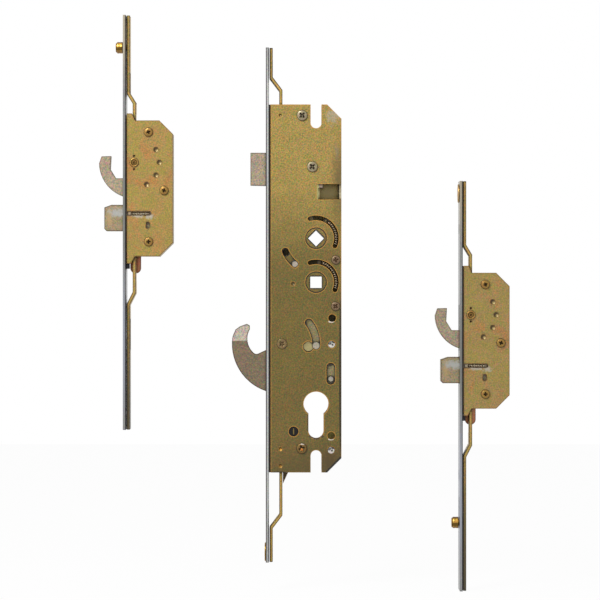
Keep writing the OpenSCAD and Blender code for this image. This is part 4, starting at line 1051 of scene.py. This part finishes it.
@dataclass
class BoltSection:
    """A bolt section: the box with its hook, deadbolt and spring, the drive bars and the roller."""

    section: Section
    plate_y: float = -7.0
    screw: CrossScrew = CrossScrew(3.0, 1.5, recess=0.44)
    screw_at: tuple[Point, ...] = ((17.8, 21.2, 25), (28.7, -19.5, 70), (17.9, -55.2, 5))
    pivot_u: float = 7.8
    pivot_r: float = 3.1
    pivot_shank: Pairs = ((0, -14), (2.5, -14), (2.5, 0.02))
    pivot_top: Pairs = (
        (1, 0.02), (1, 0.5), (0.93, 0.72), (0.8, 0.78), (0.7, 0.7), (0.64, 0.42), (0.56, 0.42), (0.5, 0.66),
        (0.3, 0.7), (0.22, 0.5), (0.16, 0.2), (0, 0.16),
    )
    slot_w: float = -35.5
    spring: Coil = Coil(10, 1.0)
    spring_u: tuple[float, float] = (6.2, 18.2)
    spring_y: float = -3.75
    dent_arc: float = 17.8
    dent_turns: tuple[float, ...] = (30, 0, -30, -60)
    # Painted shade and highlight on each dent: offset, reach, colour and softness.
    dent_shade_and_highlight_coats: tuple[tuple[float, float, Rgb, float], ...] = (
        (-0.3, 2.3, (58, 42, 16), 0.5), (0.4, 1.3, (184, 160, 100), 0.6),
    )
    roller_r: float = 4.0
    # Painted reflection bands on the roller: depth, height, reach and colour of each.
    reflection_bands: tuple[tuple[float, float, float, Rgb], ...] = (
        (-1.5, 3.9, 1.1, (92, 58, 20)), (-4, -1.1, 1.5, (88, 66, 24)), (-2.5, -3.4, 1.2, (138, 106, 66)),
    )

    def node(self, part: str) -> str:
        """Gives the section's own name of a part."""
        return f"{self.section.label}_{part}"

    def at(self, u: float, y: float, w: float) -> Point:
        """Gives the frame's point for one in the section's own sizes."""
        return self.section.face_x + u, y, self.section.pivot_z + w

    def build(self) -> None:
        """Builds the screws, pivot rivet, spring and roller of the section."""
        screws = Shape()
        for u, w, turn in self.screw_at:
            x, y, z = self.at(u, self.plate_y, w)
            self.screw.add(screws, front_seat(x, y, z, turn))
        screws.piece(self.node("screw_set"), "lock_frame", BOX_SCREW, self.node("screws"))
        rivet = Shape()
        profile = [*self.pivot_shank, *((self.pivot_r * share, up) for share, up in self.pivot_top)]
        rivet.turn(front_seat(*self.at(self.pivot_u, self.plate_y, 0)), profile)
        rivet.piece(self.node("pivot_rivet"), "lock_frame", BOX_SCREW, self.node("hook_pivot"))
        x, y, z = self.at(0, self.spring_y, self.slot_w)
        spring = self.spring.wound(straight(*(x + u for u in self.spring_u), y, z))
        deadbolt = self.node("deadbolt")
        spring.piece(self.node("bolt_coil"), deadbolt, SPRING, f"{deadbolt}_spring")
        self.roller()

    def roller(self) -> None:
        """Builds the turned roller and the stud that carries it."""
        x, y, z = self.at(0, 0, self.section.roller_w)
        seat = Seat((x, y, z), (-1, 0, 0), (0, 1, 0))
        # Painted reflection bands across the roller's front: dark at the top, dark below the middle, duller
        # low down.
        reflection_bands = tuple(
            crisp((x - 2.7, out, z + up), (7, 3, reach), colour) for out, up, reach, colour in self.reflection_bands
        )
        brass = replace(BRASS, name=self.node("roller_brass"), smears=reflection_bands)
        r, bore, segments = self.roller_r, 2.06, 56
        groove, cap = r * 0.985, r - 0.7
        outer = [(bore, 0.42), (r - 0.4, 0.42), (r, 0.8), (r, 1.9), (groove, 2.3), (groove, 2.9)]
        outer += [(r, 3.3), (r, 4.2), (r - 0.3, 4.62), (bore, 4.64)]
        tube = Shape()
        rings = [tube.lathe(seat, radius, height, segments) for radius, height in outer]
        for lower, upper in zip(rings, rings[1:] + rings[:1]):
            tube.wall(lower, upper)
        roller = self.node("roller")
        tube.piece(self.node("turned_roller"), roller, brass, roller)
        stud = Shape()
        profile = [(0, -2.5), (2, -2.5), (2, 4.7), (cap, 4.72), (cap, 5.1), (cap - 0.25, 5.36)]
        stud.turn(seat, profile + [(1.2, 5.4), (0, 5.3)])
        stud.piece(self.node("stud"), self.node("drive"), brass, f"{roller}_stud")

    def strip(self) -> Metal:
        """Mixes the strip's steel: warm at its head, darkened beside the box by the box's painted shadow,
        cold at its foot, and with a painted shade line down its side.

        Returns:
            The finish.
        """
        x, y, z = self.at(0, -8, 0)
        tones = tuple(
            Smear((x, y, z + w), (9, 30, reach), colour, share=0.75, ragged=0.4, soft=0.8, metallic=0.8)
            for w, reach, colour in (
                (95, 50, (178, 166, 140)), (-30, 55, (122, 122, 116)), (-125, 70, (160, 164, 176)),
            )
        )
        shade = crisp((x + 2, y, z), (0.75, 0.9, 400), (40, 38, 40), 0.85, 0.8, 0.1)
        return replace(
            STRIP, name=self.node("strip_steel"), base=(152, 152, 150), edge_share=0.3,
            smears=(*tones, shade),
        )

    def dent_shade_and_highlight(self) -> tuple[Smear, ...]:
        """Paints shade over each of the cover's dents, toward its upper left, and a highlight at its lower
        right.

        Returns:
            The smears.
        """
        patches = []
        for turn in map(math.radians, self.dent_turns):
            u = self.pivot_u + self.dent_arc * math.cos(turn)
            x, y, z = self.at(u, self.plate_y, self.dent_arc * math.sin(turn))
            patches += [
                Smear((x + off, y, z - off), (reach, 4, reach), colour, 0.8, 0.2, soft, 0.2)
                for off, reach, colour, soft in self.dent_shade_and_highlight_coats
            ]
        return tuple(patches)

    def finish(self) -> None:
        """Finishes the CAD nodes of the section, with the grease round its spring slot."""
        x, y, z = self.at(0, self.plate_y, self.slot_w)
        grease = (
            Smear((x + 11, y, z - 1.8), (6, 4, 2.0), GREASE, share=0.55, ragged=2.2, soft=0.8),
            Smear((x + 19, y, z - 2.2), (4.2, 4, 2.6), GREASE, share=0.6, ragged=2.2, soft=0.8),
        )
        plate = replace(
            BOX_GOLD, name=self.node("box_gold"), base=self.section.gold, smears=grease + self.dent_shade_and_highlight()
        )
        bolt = replace(
            LATCH_STEEL, name=self.node("bolt_steel"), base=(156, 138, 110), film=0.6, film_mm=8,
            smears=(
                Smear((x - 9.6, -5, z - 3), (2.6, 8, 9), (190, 160, 108), share=0.6, ragged=0.8, soft=0.8),
                Smear((x - 4, -5, z + 0.8), (8.5, 8, 4.2), (182, 184, 182), ragged=1.6, soft=0.8),
                Smear((x + 12, -4, z), (10, 8, 6), (176, 160, 134), ragged=0.3, metallic=0.7),
            ),
        )
        dull = soft_smear((x + 4, 0, z - 155), (20, 30, 115), (76, 72, 60), 0.9, 0.3, 0.8)
        low_bar = replace(BAR_GOLD, name=self.node("low_bar_gold"), smears=(dull,))
        coats: dict[str, tuple[Metal, float]] = {
            "faceplate": (self.strip(), 0.3), "case": (BOX_GOLD, 0.3), "case_wall": (BOX_GOLD, 0.15),
            "pillars": (BRIGHT, 0.15), "cover": (plate, 0.35), "hook": (SMALL_HOOK_STEEL, 0.3),
            "deadbolt": (bolt, 0.5), "drive_slide": (COPPER, 0.25), "upper_bar": (BAR_GOLD, 0.3),
            "lower_bar": (low_bar, 0.3), "pad": (BLACK_PAD, 0.3),
        }
        for node, (coat, round_mm) in coats.items():
            dress(self.node(node), coat, round_mm)


@dataclass
class Studio:
    """Camera, light and floor of the picture."""

    middle: Point = (-11.2, 0.0, 72.7)
    frame_mm: float = 418.4
    lens: float = 135.0
    sensor: float = 36.0
    clip_end: float = 50.0
    plane_y: float = -7.0
    fill: tuple[float, ...] = (0.94, 0.97, 1, 1)
    fill_strength: float = 0.12
    lamps: tuple[tuple, ...] = (
        ("key", (-0.55, -0.75, 0.95), (0.45, 0.45), 12.6), ("side", (-1.1, -0.7, 0.2), (0.5, 0.9), 3.0),
    )
    floor_half: float = 1.6
    floor_gap: float = 0.0005
    floor_pale: tuple[float, ...] = (0.95, 0.95, 0.95, 1)
    floor_rough: float = 0.8
    floor_glow: float = 0.97

    def camera(self) -> None:
        """Sets the camera square on to the cases' sides."""
        data = bpy.data.cameras.new("camera")
        data.lens, data.sensor_width, data.clip_end = self.lens, self.sensor, self.clip_end
        away = self.frame_mm * self.lens / self.sensor
        camera = stand("camera", data)
        camera.location = Vector((self.middle[0], self.plane_y - away, self.middle[2])) * MM
        camera.rotation_euler = (math.pi / 2, 0, 0)
        bpy.context.scene.camera = camera

    def seen(self, graph: Graph) -> bpy.types.NodeSocket:
        """Tells which rays should meet the white background.

        Args:
            graph: Nodes of the background or the floor.

        Returns:
            1 for such a ray and 0 for another.
        """
        path = graph.add("LightPath").outputs
        first = graph.math("MAXIMUM", path["Is Camera Ray"], path["Is Glossy Ray"])
        return graph.math("MAXIMUM", first, path["Is Transmission Ray"])

    def world(self) -> None:
        """Makes a white background that lights the lock softly."""
        world = bpy.data.worlds.new("studio")
        bpy.context.scene.world = world
        world.use_nodes = True
        graph = Graph(world.node_tree)
        nodes = world.node_tree.nodes
        fill = nodes["Background"]
        fill.inputs["Color"].default_value = self.fill
        fill.inputs["Strength"].default_value = self.fill_strength
        white = graph.add("Background", {"Color": WHITE, "Strength": 1.0})
        both = graph.add("MixShader", {0: self.seen(graph), 1: fill.outputs[0], 2: white.outputs[0]})
        graph.feed(nodes["World Output"].inputs["Surface"], both.outputs[0])

    def lamp(self, name: str, at: Point, size: tuple[float, float], power: float) -> None:
        """Hangs a soft rectangular lamp that faces the lock.

        Args:
            name: The lamp's name.
            at: Its place in metres.
            size: Its width and height in metres.
            power: Its power in watts.
        """
        data = bpy.data.lights.new(name, "AREA")
        data.shape, data.size, data.size_y = "RECTANGLE", size[0], size[1]
        data.energy = power
        lamp = stand(name, data)
        lamp.location = at
        aim = Vector(self.middle) * MM - Vector(at)
        lamp.rotation_euler = aim.to_track_quat("-Z", "Y").to_euler()

    def floor(self) -> None:
        """Lays a plain pale floor under the lock."""
        low, half = CAD_BOX[0].z - self.floor_gap, self.floor_half
        mesh = bpy.data.meshes.new("floor")
        corners = [(-half, -half, low), (half, -half, low), (half, half, low), (-half, half, low)]
        mesh.from_pydata(corners, [], [(0, 1, 2, 3)])
        made = bpy.data.materials.new("floor_white")
        made.use_nodes = True
        graph = Graph(made.node_tree)
        shader = made.node_tree.nodes["Principled BSDF"]
        shader.inputs["Base Color"].default_value = self.floor_pale
        shader.inputs["Roughness"].default_value = self.floor_rough
        glow = graph.add("Emission", {"Color": WHITE, "Strength": 1.0})
        share = graph.math("MULTIPLY", self.seen(graph), self.floor_glow)
        both = graph.add("MixShader", {0: share, 1: shader.outputs[0], 2: glow.outputs[0]})
        graph.feed(made.node_tree.nodes["Material Output"].inputs["Surface"], both.outputs[0])
        mesh.materials.append(made)
        floor = stand("floor", mesh)

    def build(self) -> None:
        """Sets up the whole studio."""
        bpy.context.scene.view_settings.view_transform = "Standard"
        self.camera()
        self.world()
        for lamp in self.lamps:
            self.lamp(*lamp)
        self.floor()


def main() -> None:
    """Builds the studio and the three lengths of the lock."""
    logging.basicConfig(level=logging.INFO, format="%(name)s: %(message)s")
    Studio().build()
    centre = CentreCase()
    centre.build()
    centre.finish()
    for section in Section:
        bolts = BoltSection(section)
        bolts.build()
        bolts.finish()


if __name__ == "__main__":
    main()
